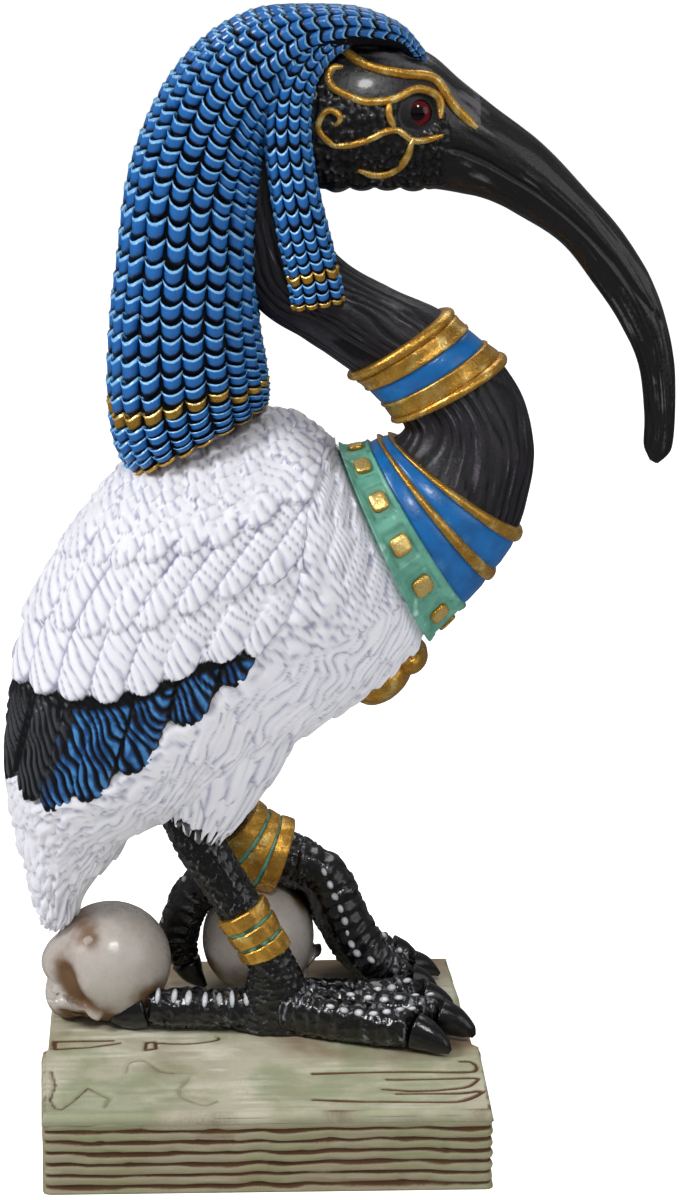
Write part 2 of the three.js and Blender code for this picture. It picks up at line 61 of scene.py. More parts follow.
birdMiddle = 9.0  # the bird's middle plane, in millimetres along y
weldGap = 0.000004
print("stage: frame loaded")

# The view of the photograph; points drawn over it are read on the upright plane at drawingPlane
view = {"place": (5.1, -493.0, 249.6), "turn": -1.5, "dip": 15.0, "lens": 72.0, "sensor": 36, "nearest": 0.01}
drawingPlane = 8.0


# Curves and forms, all in millimetres
def splineAt(stations, t):
    stations = np.asarray(stations, float)
    last = len(stations) - 1
    reached = np.clip(t, 0, 1) * last
    i = np.minimum(reached.astype(int), last - 1)
    w = (reached - i)[..., None]
    before, here = stations[np.maximum(i - 1, 0)], stations[i]
    after, beyond = stations[i + 1], stations[np.minimum(i + 2, last)]
    leave, arrive = (after - before) / 2, (beyond - here) / 2
    bend = (2 * here - 2 * after + leave + arrive) * w + (-3 * here + 3 * after - 2 * leave - arrive)
    return (bend * w + leave) * w + here


def unit(vectors):
    return vectors / np.maximum(np.linalg.norm(vectors, axis=-1, keepdims=True), 1e-9)


def signedPower(values, power):
    return np.sign(values) * np.abs(values) ** power


def stacked(*columns):
    return np.stack(np.broadcast_arrays(*columns), -1)


# The length run so far at each point, and the points again at an even pitch
def runOf(points):
    return np.concatenate([[0], np.cumsum(np.linalg.norm(np.diff(points, axis=0), axis=1))])


def evenly(points, count):
    run = runOf(points)
    wanted = np.linspace(0, run[-1], count)
    return np.stack([np.interp(wanted, run, points[:, k]) for k in range(points.shape[1])], -1), run[-1]


# A drawn line read as z over x, or with over=1 as x over z
def lineAt(line, at, over=0):
    points = sorted(line, key=lambda point: point[over])
    return np.interp(at, [p[over] for p in points], [p[1 - over] for p in points])


def between(part, share):
    return part["from"] + (part["to"] - part["from"]) * share


def turnedOut(out, guide):
    return -out if np.dot(out, guide) < 0 else out


def tipped(points, turn):
    return stacked(points[:, 0] * math.cos(turn) + points[:, 2] * math.sin(turn), points[:, 1],
                   -points[:, 0] * math.sin(turn) + points[:, 2] * math.cos(turn))


# A form between two drawn edges: each station is edge A x, z, edge B x, z and the half width
def formAt(form, t, angle, grow=0.0):
    s = splineAt(form["stations"], t)
    a, b, half = s[..., 0:2], s[..., 2:4], s[..., 4]
    reach = (a - b) / 2
    length = np.maximum(np.linalg.norm(reach, axis=-1), 0.05)
    rounding = 2 / form.get("squareness", 2)
    along = signedPower(np.cos(angle), rounding) * (1 + grow / length)
    across = signedPower(np.sin(angle), rounding) * (half + grow)
    middle = (a + b) / 2 + reach * along[..., None]
    return stacked(middle[..., 0], birdMiddle - across, middle[..., 1])


# A limb along a path: each station is x, offset from the middle plane, z, half across, half deep
def limbAt(form, t, angle, grow=0.0):
    path = np.array([[x, birdMiddle + y, z] for x, y, z, wide, deep in form["stations"]])
    size = splineAt([[wide, deep] for x, y, z, wide, deep in form["stations"]], t)
    centre = splineAt(path, t)
    ahead = unit(splineAt(path, np.minimum(t + 0.01, 1)) - splineAt(path, np.maximum(t - 0.01, 0)))
    across = unit(np.array([0, 1.0, 0]) - ahead * ahead[..., 1:2])
    deep = np.cross(ahead, across)
    wide = np.cos(angle) * (size[..., 0] + grow)
    high = np.sin(angle) * (size[..., 1] + grow)
    return centre + across * wide[..., None] + deep * high[..., None]


# One place on a form, where no grid is needed
def spotOn(place, form, t, angle, grow=0.0):
    return place(form, np.array([t]), np.array([angle]), grow)[0]


def smoothStep(low, high, x):
    t = np.clip((x - low) / (high - low), 0, 1)
    return t * t * (3 - 2 * t)


# Nothing below a, all from b to c, and nothing above d
def plateau(a, b, c, d, x):
    return smoothStep(a, b, x) * (1 - smoothStep(c, d, x))


def hump(x, wide):
    return np.exp(-((x / wide) ** 2))


def dome(x):
    return np.sqrt(np.clip(1 - x ** 2, 0, 1))


# Even and cellular patterns
def scatter(i, j, k, seed):
    n = (i.astype(np.int64) * 73856093) ^ (j.astype(np.int64) * 19349663)
    n = n ^ (k.astype(np.int64) * 83492791) ^ (seed * 265443576)
    n = (n ^ (n >> 13)) * 1274126177
    n = (n ^ (n >> 15)) * 668265263
    return ((n ^ (n >> 17)) & 0xFFFF) / 65535.0


def softNoise(points, size, seed=1):
    p = points / size
    cell = np.floor(p)
    f = p - cell
    f = f * f * (3 - 2 * f)
    total = 0
    for dx in (0, 1):
        for dy in (0, 1):
            for dz in (0, 1):
                weight = np.abs(1 - dx - f[..., 0]) * np.abs(1 - dy - f[..., 1]) * np.abs(1 - dz - f[..., 2])
                total = total + weight * scatter(cell[..., 0] + dx, cell[..., 1] + dy, cell[..., 2] + dz, seed)
    return total


def uneven(points, size, seed):
    return softNoise(points, size, seed) - 0.5


def nearestSeed(points, size, seed=1):
    p = points / size
    cell = np.floor(p)
    nearest = np.full(p.shape[:-1], 9.0)
    second = np.full(p.shape[:-1], 9.0)
    for dx in (-1, 0, 1):
        for dy in (-1, 0, 1):
            for dz in (-1, 0, 1):
                c = cell + np.array([dx, dy, dz])
                spot = np.stack([c[..., n] + 0.15 + 0.7 * scatter(c[..., 0], c[..., 1], c[..., 2], seed + n)
                                 for n in range(3)], -1)
                gap = np.linalg.norm(p - spot, axis=-1)
                second = np.minimum(second, np.maximum(nearest, gap))
                nearest = np.minimum(nearest, gap)
    return nearest, second


def pebbles(points, size, seed=1):
    nearest, second = nearestSeed(points, size, seed)
    return dome(nearest / 0.72) * smoothStep(0, 0.22, second - nearest)


# Meshes
def pickOnly(piece=None):
    if bpy.context.object and bpy.context.object.mode != "OBJECT":
        bpy.ops.object.mode_set(mode="OBJECT")
    bpy.ops.object.select_all(action="DESELECT")
    if piece:
        piece.select_set(True)
        bpy.context.view_layer.objects.active = piece


def named(name):
    piece = bpy.context.object
    piece.name = name
    piece.data.name = name
    return piece


def addSphere(name, segments, rings, radius=1):
    pickOnly()
    bpy.ops.mesh.primitive_uv_sphere_add(segments=segments, ring_count=rings, radius=radius)
    return named(name)


def addObject(name, data):
    piece = bpy.data.objects.new(name, data)
    bpy.context.scene.collection.objects.link(piece)
    return piece


def pointsOf(piece):
    flat = np.empty(len(piece.data.vertices) * 3)
    piece.data.vertices.foreach_get("co", flat)
    return flat.reshape(-1, 3) / mm


def placePoints(piece, points):
    piece.data.vertices.foreach_set("co", (np.asarray(points).reshape(-1, 3) * mm).ravel())
    piece.data.update()


def normalsOf(piece):
    flat = np.empty(len(piece.data.vertices) * 3)
    piece.data.vertex_normals.foreach_get("vector", flat)
    return flat.reshape(-1, 3)


def keepMark(piece, name, values):
    mark = piece.data.attributes.get(name) or piece.data.attributes.new(name, "FLOAT", "POINT")
    mark.data.foreach_set("value", np.asarray(values, np.float32).ravel())


# Steps in edit mode, each on the whole mesh of a piece
def edited(piece, *steps):
    pickOnly(piece)
    bpy.ops.object.mode_set(mode="EDIT")
    for step in steps:
        bpy.ops.mesh.select_all(action="SELECT")
        step()
    bpy.ops.object.mode_set(mode="OBJECT")


# Every face is turned outwards; with weld, seams are welded and open ends filled first
def closeSkin(piece, weld=True):
    closing = [lambda: bpy.ops.mesh.remove_doubles(threshold=weldGap), lambda: bpy.ops.mesh.fill_holes(sides=0)]
    edited(piece, *(closing if weld else []), lambda: bpy.ops.mesh.normals_make_consistent(inside=False))


# A skin that closes around itself faces away from its rings, an open one the way that around says
def outwardOf(skin, around):
    if around is True:
        ring = skin[:, :-1]
        across = np.roll(ring, -1, 1) - np.roll(ring, 1, 1)
        across = np.concatenate([across, across[:, :1]], 1)
        guide = skin - ring.mean(1, keepdims=True)
    else:
        across = np.gradient(skin, axis=1)
        guide = np.array(around, float)
    normal = unit(np.cross(across, np.gradient(skin, axis=0)))
    return -normal if np.sum(normal * guide) < 0 else normal


# A fine grid laid on a shape: shape gives the place at u, v, and carve the relief and the marks on it
def laidSkin(name, columns, rows, shape, carve=None, around=True):
    pickOnly()
    bpy.ops.mesh.primitive_grid_add(x_subdivisions=columns, y_subdivisions=rows, size=1)
    piece = named(name)
    flat = pointsOf(piece) * mm
    u = (flat[:, 0] + 0.5).reshape(rows + 1, columns + 1)
    v = (flat[:, 1] + 0.5).reshape(rows + 1, columns + 1)
    skin = shape(u, v)
    if carve:
        height, marks = carve(skin, u, v)
        skin = skin + outwardOf(skin, around) * height[..., None]
        for key, values in marks.items():
            keepMark(piece, key, values)
    placePoints(piece, skin)
    closeSkin(piece)
    return piece, skin


# A ring around a form, with a closed profile of places along it and rises above it
def ringOn(name, place, form, profile, columns, shaping=None, fineness=1):
    loop = np.array(list(profile) + [profile[0]], float)
    rows = (len(loop) - 1) * fineness

    def shape(u, v):
        t = np.interp(v * (len(loop) - 1), np.arange(len(loop)), loop[:, 0])
        grow = np.interp(v * (len(loop) - 1), np.arange(len(loop)), loop[:, 1])
        angle = 2 * math.pi * u
        if shaping:
            t, grow = shaping(t, grow, angle)
        return place(form, t, angle, grow)

    return laidSkin(name, columns, rows, shape)[0]


def joined(name, parts):
    pickOnly()
    for part in parts:
        part.select_set(True)
    bpy.context.view_layer.objects.active = parts[0]
    bpy.ops.object.join()
    return named(name)


# Copies of one small shape: each is set by its middle and its three scaled axes
def copiesOf(name, pattern, middles, axes):
    shape, faces, marks = pattern
    middles, axes = np.asarray(middles), np.asarray(axes)
    points = np.einsum("pk,nkc->npc", shape, axes) + middles[:, None]
    count = len(shape)
    allFaces = [[i + n * count for i in face] for n in range(len(middles)) for face in faces]
    mesh = bpy.data.meshes.new(name)
    mesh.from_pydata((points.reshape(-1, 3) * mm).tolist(), [], allFaces)
    piece = addObject(name, mesh)
    keepMark(piece, "relief", np.tile(marks, len(middles)))
    closeSkin(piece, weld=False)
    return piece


def farSide(points):
    return points * np.array([1, -1, 1]) + np.array([0, 2 * birdMiddle, 0])


# The mirrored copy of a piece on the far side of the bird
def mirrored(piece, name):
    pickOnly(piece)
    bpy.ops.object.duplicate(linked=False)
    copy = named(name)
    placePoints(copy, farSide(pointsOf(copy)))
    closeSkin(copy, weld=False)
    return copy


fit = {"margin": 0.02, "knees": {"ibis_figure": 1.1}, "otherKnee": 0.01, "facetAngle": 32, "grazing": -0.05,
       "seatGap": 2}


# Past the knee, points are drawn in softly, so that nothing leaves the box of the CAD
def keepInBox(piece, knee):
    points = pointsOf(piece)
    for corner, sign in ((0, -1), (1, 1)):
        limit = np.array(cadBox[corner]) / mm - fit["margin"] * sign
        over = (points - limit) * sign + knee
        points = np.where(over > 0, limit - sign * knee * np.exp(-np.clip(over, 0, None) / knee), points)
    placePoints(piece, points)


def finishPiece(piece, slotName, paint, node="ibis_figure", flat=False):
    keepInBox(piece, fit["knees"].get(node, fit["otherKnee"]))
    piece.data.materials.clear()
    piece.data.materials.append(paints[paint])
    pickOnly(piece)
    if flat:
        bpy.ops.object.shade_smooth_by_angle(angle=math.radians(fit["facetAngle"]))
    else:
        bpy.ops.object.shade_smooth()
    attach(piece, "root")
    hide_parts(node)


# Sight lines of the photograph, and where they meet a skin; side is 1 near, -1 far
def sightLines(drawn):
    place = np.array(view["place"])
    drawn = np.asarray(drawn, float)
    aim = stacked(drawn[:, 0], np.full(len(drawn), drawingPlane), drawn[:, 1])
    return place, unit(aim - place)


def drawnOf(points):
    place = np.array(view["place"])
    share = (drawingPlane - place[1]) / (points[..., 1] - place[1])
    return place[[0, 2]] + (points[..., [0, 2]] - place[[0, 2]]) * share[..., None]


def drawnBothSides(skin):
    nearer = skin.copy()
    nearer[..., 1] = birdMiddle - np.abs(skin[..., 1] - birdMiddle)
    return drawnOf(nearer)


def seatOn(skin, normals, drawn, side=1, lift=0.0, withFacings=False):
    place, lines = sightLines(drawn)
    flat, facing = skin.reshape(-1, 3), normals.reshape(-1, 3)
    seats, facings = [], []
    for line in lines:
        away = flat - place
        miss = np.linalg.norm(away - (away @ line)[:, None] * line, axis=1)
        miss = miss + np.where(facing @ line < fit["grazing"], 0, 1000)
        best = np.argmin(miss)
        reach = (away[best] @ facing[best]) / (line @ facing[best])
        seat = place + line * reach
        if np.linalg.norm(seat - flat[best]) > fit["seatGap"]:
            seat = flat[best]
        seats.append(seat + facing[best] * lift)
        facings.append(facing[best])
    seats = np.array(seats)
    if side < 0:
        seats = farSide(seats)
    return (seats, np.array(facings)) if withFacings else seats


# Materials
def colourOf(r, g, b):
    return tuple(c / 255 / 12.92 if c <= 10 else ((c / 255 + 0.055) / 1.055) ** 2.4 for c in (r, g, b)) + (1.0,)


def feed(tree, node, values):
    for key, value in values.items():
        if isinstance(value, bpy.types.NodeSocket):
            tree.links.new(value, node.inputs[key])
        else:
            node.inputs[key].default_value = value
    return node


def addNode(tree, kind, values=None, **settings):
    node = tree.nodes.new(kind)
    for key, value in settings.items():
        setattr(node, key, value)
    return feed(tree, node, values or {})


def addMath(tree, operation, *values):
    return addNode(tree, "ShaderNodeMath", dict(enumerate(values)), operation=operation).outputs[0]


def times(tree, first, second):
    return addMath(tree, "MULTIPLY", first, second)


def plus(tree, first, second):
    return addMath(tree, "ADD", first, second)


# A noise as a swing about its middle, and what a share leaves of the whole
def swing(tree, noise, reach):
    return times(tree, addMath(tree, "SUBTRACT", noise, 0.5), reach)


def rest(tree, share):
    return addMath(tree, "SUBTRACT", 1.0, share)


def addMix(tree, factor, first, second):
    return addNode(tree, "ShaderNodeMix", {0: factor, 6: first, 7: second}, data_type="RGBA").outputs[2]


def addNoise(tree, vector, scale, detail, **more):
    values = {"Vector": vector, "Scale": scale, "Detail": detail, **more}
    return addNode(tree, "ShaderNodeTexNoise", values).outputs["Fac"]


def addRamp(tree, value, low, high):
    values = {"From Min": low, "From Max": high, "Value": value}
    return addNode(tree, "ShaderNodeMapRange", values, interpolation_type="SMOOTHSTEP").outputs["Result"]


# A ramp that reaches as far below a level as above it
def addStep(tree, value, level, reach):
    return addRamp(tree, value, addMath(tree, "SUBTRACT", level, reach), plus(tree, level, reach))


def objectPlace(tree):
    return addNode(tree, "ShaderNodeTexCoord").outputs["Object"]


def newGroup(name, inputs, outputs):
    tree = bpy.data.node_groups.new(name, "ShaderNodeTree")
    for way, sockets in (("INPUT", inputs), ("OUTPUT", outputs)):
        for label, kind in sockets.items():
            tree.interface.new_socket(label, in_out=way, socket_type="NodeSocket" + kind)
    return tree, tree.nodes.new("NodeGroupInput").outputs, tree.nodes.new("NodeGroupOutput")


# Brushed paint, darker in the recesses and lighter along the ridges as the relief mark says: in part the washes and
# dry-brushing of the real paint, in part painted shade in the hollows and painted highlight on the crests
wornAndShading = {"patches": 0.45, "fleckScale": 1700.0, "flecks": 0.16, "brightReach": 0.12, "softness": 0.16}


def wornPaintWithShadingGroup():
    tree, given, out = newGroup("wornPaint", {
        "Vector": "Vector", "Relief": "Float", "Paint": "Color", "Wash": "Color", "Highlight": "Color",
        "Wash Level": "Float", "Highlight Level": "Float", "Mottle": "Float", "Mottle Scale": "Float",
        "Softness": "Float",
    }, {"Color": "Color", "Wash Mask": "Float", "Height": "Float"})
    patches = addNoise(tree, given["Vector"], given["Mottle Scale"], 4.0, Roughness=0.6)
    flecks = addNoise(tree, given["Vector"], wornAndShading["fleckScale"], 2.0)
    stray = plus(tree, swing(tree, patches, wornAndShading["patches"]), swing(tree, flecks, wornAndShading["flecks"]))
    level = plus(tree, given["Relief"], stray)
    # darker where the relief is low: the washes of the paint together with painted shade; lighter where it is high:
    # dry-brushing together with painted highlight
    wash = rest(tree, addStep(tree, level, given["Wash Level"], given["Softness"]))
    bright = addStep(tree, level, given["Highlight Level"], wornAndShading["brightReach"])
    mottled = times(tree, addRamp(tree, patches, 0.35, 0.7), given["Mottle"])
    colour = addMix(tree, mottled, given["Paint"], given["Wash"])
    colour = addMix(tree, bright, addMix(tree, wash, colour, given["Wash"]), given["Highlight"])
    feed(tree, out, {"Color": colour, "Wash Mask": wash,
                     "Height": plus(tree, times(tree, flecks, 0.4), times(tree, patches, 0.6))})
    return tree


# How the gloss changes over a surface, and the brush marks in it
def brushGrainGroup():
    tree, given, out = newGroup("brushGrain", {
        "Vector": "Vector", "Gloss": "Float", "Spread": "Float", "Scale": "Float", "Wash Mask": "Float",
    }, {"Roughness": "Float", "Height": "Float"})
    grain = addNoise(tree, given["Vector"], given["Scale"], 5.0, Roughness=0.65)
    rough = plus(tree, given["Gloss"], swing(tree, grain, given["Spread"]))
    rough = plus(tree, rough, times(tree, given["Wash Mask"], 0.3))
    rough = addMath(tree, "MINIMUM", addMath(tree, "MAXIMUM", rough, 0.05), 1.0)
    feed(tree, out, {"Roughness": rough, "Height": grain})
    return tree


wornPaint = wornPaintWithShadingGroup()
brushGrain = brushGrainGroup()


def emptyMaterial(name):
    material = bpy.data.materials.new(name)
    material.use_nodes = True
    tree = material.node_tree
    tree.nodes.clear()
    shader = addNode(tree, "ShaderNodeBsdfPrincipled")
    out = addNode(tree, "ShaderNodeOutputMaterial")
    tree.links.new(shader.outputs[0], out.inputs["Surface"])
    return material, tree, shader


def markOf(tree, name):
    return addNode(tree, "ShaderNodeAttribute", attribute_name=name).outputs["Fac"]


# The place that the paint is read at, then its colour with its painted shade and highlight, the mask of its washes and
# painted shade, and its height
def wornLayerWithShading(tree, look):
    place = objectPlace(tree)
    layer = addNode(tree, "ShaderNodeGroup", node_tree=wornPaint, values={
        "Vector": place, "Relief": markOf(tree, "relief"), "Paint": colourOf(*look["paint"]),
        "Wash": colourOf(*look["wash"]), "Highlight": colourOf(*look["highlight"]), "Wash Level": look["washLevel"],
        "Highlight Level": look["highlightLevel"], "Mottle": look["mottle"], "Mottle Scale": look["mottleScale"],
        "Softness": look.get("softness", wornAndShading["softness"]),
    })
    return [place] + [layer.outputs[label] for label in ("Color", "Wash Mask", "Height")]


def finishPaint(tree, shader, look, place, colour, wash, height):
    grain = addNode(tree, "ShaderNodeGroup", node_tree=brushGrain, values={
        "Vector": place, "Gloss": look["gloss"], "Spread": look["glossSpread"], "Scale": look["grainScale"],
        "Wash Mask": wash,
    })
    bump = addNode(tree, "ShaderNodeBump", {
        "Strength": look["grainStrength"], "Distance": 0.0004, "Height": plus(tree, height, grain.outputs["Height"]),
    })
    feed(tree, shader, {
        "Base Color": colour, "Roughness": grain.outputs["Roughness"], "Normal": bump.outputs[0],
        "Metallic": look.get("metal", 0.0), "Coat Weight": look.get("varnish", 0.0), "Coat Roughness": 0.1,
        "Specular IOR Level": look.get("shine", 0.5),
    })
    return grain.outputs["Roughness"]


def paintMaterial(name, look):
    material, tree, shader = emptyMaterial(name)
    finishPaint(tree, shader, look, *wornLayerWithShading(tree, look))
    return material


lookKeys = ("paint", "wash", "highlight", "washLevel", "highlightLevel", "mottle", "mottleScale", "gloss",
            "glossSpread", "grainScale", "grainStrength")
# each paint in the order of lookKeys, then what only some of them have
lookRows = {
    "wigBlue": ((28, 102, 176), (4, 12, 30), (132, 192, 238), 0.42, 0.93, 0.2, 260.0, 0.25, 0.12, 900.0,
                0.2, {"varnish": 0.3}),
    "wigShade": ((7, 11, 22), (3, 4, 8), (16, 26, 48), 0.3, 1.2, 0.5, 300.0, 0.5, 0.2, 900.0, 0.3, {"shine": 0.2}),
    "gilt": ((214, 162, 68), (104, 62, 18), (252, 220, 138), 0.33, 0.88, 0.35, 420.0, 0.26, 0.25, 1200.0,
             0.4, {"metal": 0.72}),
    "enamelBlue": ((8, 106, 178), (8, 46, 92), (62, 140, 204), 0.26, 0.97, 0.4, 120.0, 0.3, 0.15, 700.0,
                   0.25, {"varnish": 0.2}),
    "turquoise": ((104, 172, 150), (36, 84, 76), (172, 218, 200), 0.36, 0.9, 0.4, 200.0, 0.4, 0.2, 700.0, 0.3, {}),
    "blackSkin": ((18, 17, 19), (3, 3, 4), (96, 94, 98), 0.36, 0.86, 0.4, 160.0, 0.3, 0.2, 1100.0,
                  0.25, {"varnish": 0.3}),
    "neckSkin": ((37, 34, 40), (5, 4, 6), (104, 98, 108), 0.46, 0.95, 0.4, 140.0, 0.38, 0.2, 1100.0,
                 0.35, {"shine": 0.4}),
    "legSkin": ((10, 10, 12), (2, 2, 3), (112, 114, 122), 0.3, 0.92, 0.3, 240.0, 0.2, 0.15, 900.0,
                0.2, {"varnish": 0.4}),
    "whiteStud": ((186, 188, 194), (60, 62, 68), (236, 237, 242), 0.6, 0.95, 0.5, 700.0, 0.35, 0.2, 900.0,
                  0.25, {"softness": 0.3}),
    "clawHorn": ((13, 14, 17), (4, 4, 6), (54, 60, 68), 0.34, 0.98, 0.4, 200.0, 0.2, 0.12, 800.0,
                 0.2, {"varnish": 0.2}),
    "plumage": ((232, 232, 238), (154, 154, 180), (246, 246, 250), 0.46, 1.5, 0.1, 150.0, 0.6, 0.15, 900.0,
                0.2, {"softness": 0.44}),
    "boneCream": ((190, 183, 176), (108, 78, 48), (220, 214, 206), 0.44, 1.4, 0.16, 90.0, 0.28, 0.2, 500.0,
                  0.2, {"softness": 0.34, "varnish": 0.2}),
    "papyrus": ((198, 194, 170), (88, 58, 28), (222, 218, 198), 0.46, 0.95, 0.12, 130.0, 0.5, 0.2, 420.0,
                0.35, {"softness": 0.26}),
}
looks = {name: dict(zip(lookKeys, row), **row[-1]) for name, row in lookRows.items()}
paints = {name: paintMaterial(name, look) for name, look in looks.items() if name not in ("plumage", "papyrus")}


# White plumage, with the blue and black quills of the wing where the marks say so
quillTones = {"black": (7, 9, 14), "blue": (14, 70, 128), "bright": (74, 144, 200), "grey": (78, 80, 86),
              "paleGrey": (178, 178, 186), "deepGrey": (128, 128, 142), "streaks": 0.5, "greyShare": 0.6, "gloss": 0.3}


def plumageMaterial():
    material, tree, shader = emptyMaterial("plumage")
    place, colour, wash, height = wornLayerWithShading(tree, looks["plumage"])
    tone = {name: colourOf(*value) for name, value in quillTones.items() if isinstance(value, tuple)}
    grey, dark = markOf(tree, "greyScale"), markOf(tree, "quill")
    streaks = swing(tree, addNoise(tree, place, 520.0, 3.0), quillTones["streaks"])
    level = plus(tree, markOf(tree, "blueStroke"), streaks)
    quill = addMix(tree, addRamp(tree, level, 0.3, 0.9), tone["black"], tone["blue"])
    # the lightest blue, on the crests of the strokes, is a painted highlight, and so is the grey laid over the black
    # quills
    quill = addMix(tree, addRamp(tree, level, 0.8, 1.15), quill, tone["bright"])
    quill = addMix(tree, times(tree, grey, quillTones["greyShare"]), quill, tone["grey"])
    white = addMix(tree, grey, colour, addMix(tree, wash, tone["paleGrey"], tone["deepGrey"]))
    rough = finishPaint(tree, shader, looks["plumage"], place, addMix(tree, dark, white, quill), wash, height)
    feed(tree, shader, {"Roughness": addMath(tree, "SUBTRACT", rough, times(tree, dark, quillTones["gloss"]))})
    return material


paints["plumage"] = plumageMaterial()
print("stage: paints mixed")

# The trunk's skin: neck, breast and body
trunk = {"stations": [
    [17, 216, -6, 214, 8], [13, 203, -7, 200, 8.2], [14.5, 194, -5, 188, 8.5], [19.5, 188, 1.3, 178.2, 9],
    [29, 182.6, 10.4, 172.2, 9.4], [39.5, 177.8, 20.6, 165.2, 9.8], [46, 172.2, 26.2, 160.4, 10.3],
    [51.8, 167.5, 30.6, 155.2, 10.8], [57.2, 159.2, 32, 153, 11.6], [59.7, 148, 31.4, 151.8, 12.6],
    [58.3, 137.5, 30.4, 151, 13.8], [56, 130.2, 29.6, 150.6, 15], [50.2, 121.4, 27, 150, 17],
    [44.4, 114.8, 24.5, 148.8, 18.5], [37.4, 107.8, 18.6, 148.2, 21], [31.6, 101.4, 12.4, 153.4, 23.4],
    [25.2, 95, 4.5, 157.2, 25], [13.4, 87.8, -13, 153, 27.5], [4, 81, -28.8, 144.4, 28.5],
    [-4, 75, -42.4, 126.4, 28], [-12, 70, -51.2, 108, 26], [-20, 66.5, -54.6, 92, 22], [-28, 62.5, -55.8, 78.6, 17],
    [-31.5, 57.5, -53.4, 63, 11.5], [-38.8, 48.5, -50.6, 49, 7], [-41.5, 42.5, -48.5, 42, 4.5],
    [-45.8, 39.4, -46.8, 39.6, 1.5],
]}
trunkSpan = 26


def lengthsOver(skin):
    along = np.linalg.norm(np.diff(skin, axis=0), axis=-1)
    along = np.concatenate([np.zeros((1, skin.shape[1])), np.cumsum(along, 0)])
    across = np.linalg.norm(np.diff(skin, axis=1), axis=-1)
    across = np.concatenate([np.zeros((skin.shape[0], 1)), np.cumsum(across, 1)], 1)
    return along, across


neck = {"from": 0.0, "to": 13.1, "columns": 144, "rows": 190, "furrow": 0.55, "lanes": 30}


def neckShape(u, v):
    return formAt(trunk, between(neck, v) / trunkSpan, 2 * math.pi * u)


def neckCarve(skin, u, v):
    along, across = lengthsOver(skin)
    # the furrows run on around the neck, so they are read on a circle
    turn = stacked(np.cos(2 * math.pi * u), np.sin(2 * math.pi * u)) * 12
    zero = np.zeros_like(u)
    bend = uneven(stacked(turn[..., 0], turn[..., 1], along / 2.2), 5.0, 3) * 0.44
    phase = (u + bend * 0.16) * neck["lanes"]
    lanes = np.floor(phase)
    phase, lanes = phase - lanes, lanes % neck["lanes"]
    part = np.floor(along / 17 + 3 * scatter(lanes, zero, zero, 7))
    cut = 0.35 + 0.65 * scatter(lanes, part, zero, 11)
    groove = hump(phase - 0.5, 0.17) * cut
    fine = uneven(stacked(turn[..., 0] * 3.2, turn[..., 1] * 3.2, along / 4), 1.6, 5)
    height = -neck["furrow"] * groove + 0.22 * fine
    return height, {"relief": np.clip(0.78 - 0.75 * groove + 0.5 * fine, 0, 1)}


neckPiece = laidSkin("neck", neck["columns"], neck["rows"], neckShape, neckCarve)[0]
finishPiece(neckPiece, "black_skin", "neckSkin")
print("stage: neck")

# Collars
collar = {"columns": 156, "tileColumns": 364, "sunk": -1.2}


def trunkRing(name, knots, shaping=None, columns=collar["columns"]):
    profile = [(t / trunkSpan, rise) for t, rise in knots]
    low = [(knots[-1][0] / trunkSpan, collar["sunk"]), (knots[0][0] / trunkSpan, collar["sunk"])]
    return ringOn(name, formAt, trunk, profile + low, columns, shaping)


def rollKnots(start, end, rise):
    steps = 7
    return [(start + (end - start) * (0.5 - 0.5 * math.cos(math.pi * i / steps)),
             rise * (0.35 + 0.65 * math.sin(math.pi * i / steps))) for i in range(steps + 1)]


def reliefFromNoise(piece, size, seed, low=0.45, high=0.95):
    keepMark(piece, "relief", low + (high - low) * softNoise(pointsOf(piece), size, seed))


# Parts that become one piece; wear is the size, the seed and the range of its uneven relief
def wornPiece(name, parts, wear, slotName, paint, flat=False):
    piece = joined(name, parts)
    reliefFromNoise(piece, *wear)
    finishPiece(piece, slotName, paint, flat=flat)


# A flat band from its outer edge to its inner one, where it has a lip
def bandKnots(outer, inner):
    way = 1 if inner > outer else -1
    knots = [(outer, 0), (outer + 0.02 * way, 1.0), (outer + 0.07 * way, 1.2), (outer + 0.2 * way, 1.05),
             (inner - 0.1 * way, 1.05), (inner - 0.04 * way, 1.3), (inner, 1.2), (inner + 0.02 * way, 0)]
    return knots[::way]


upper = {"from": 5.0, "to": 7.14}
edges = between(upper, np.cumsum([0, 0.11, 0.22, 0.29, 0.25, 0.13]))


def hammered(t, grow, angle):
    dents = uneven(stacked(np.cos(angle) * 6, np.sin(angle) * 6, t * 300), 1.4, 21)
    return t, np.where(grow > 0.2, grow + 0.28 * dents, grow)


wornPiece("upperCollarGilt", [
    trunkRing("rollA", rollKnots(edges[0], edges[1] + 0.02, 1.75), hammered),
    trunkRing("bandA", bandKnots(edges[1], edges[2]), hammered),
    trunkRing("bandB", bandKnots(edges[4], edges[3]), hammered),
    trunkRing("rollB", rollKnots(edges[4] - 0.02, edges[5], 1.75), hammered),
], (2.2, 31), "gilt", "gilt")

upperBlue = trunkRing("upperCollarBlue", [(edges[2] - 0.02, 0.2), (edges[2] + 0.03, 0.7), (edges[2] + 0.12, 0.85),
                                          (edges[3] - 0.12, 0.85), (edges[3] - 0.03, 0.7), (edges[3] + 0.02, 0.2)])
reliefFromNoise(upperBlue, 3.0, 32, 0.5, 1.0)
finishPiece(upperBlue, "blue_enamel", "enamelBlue")

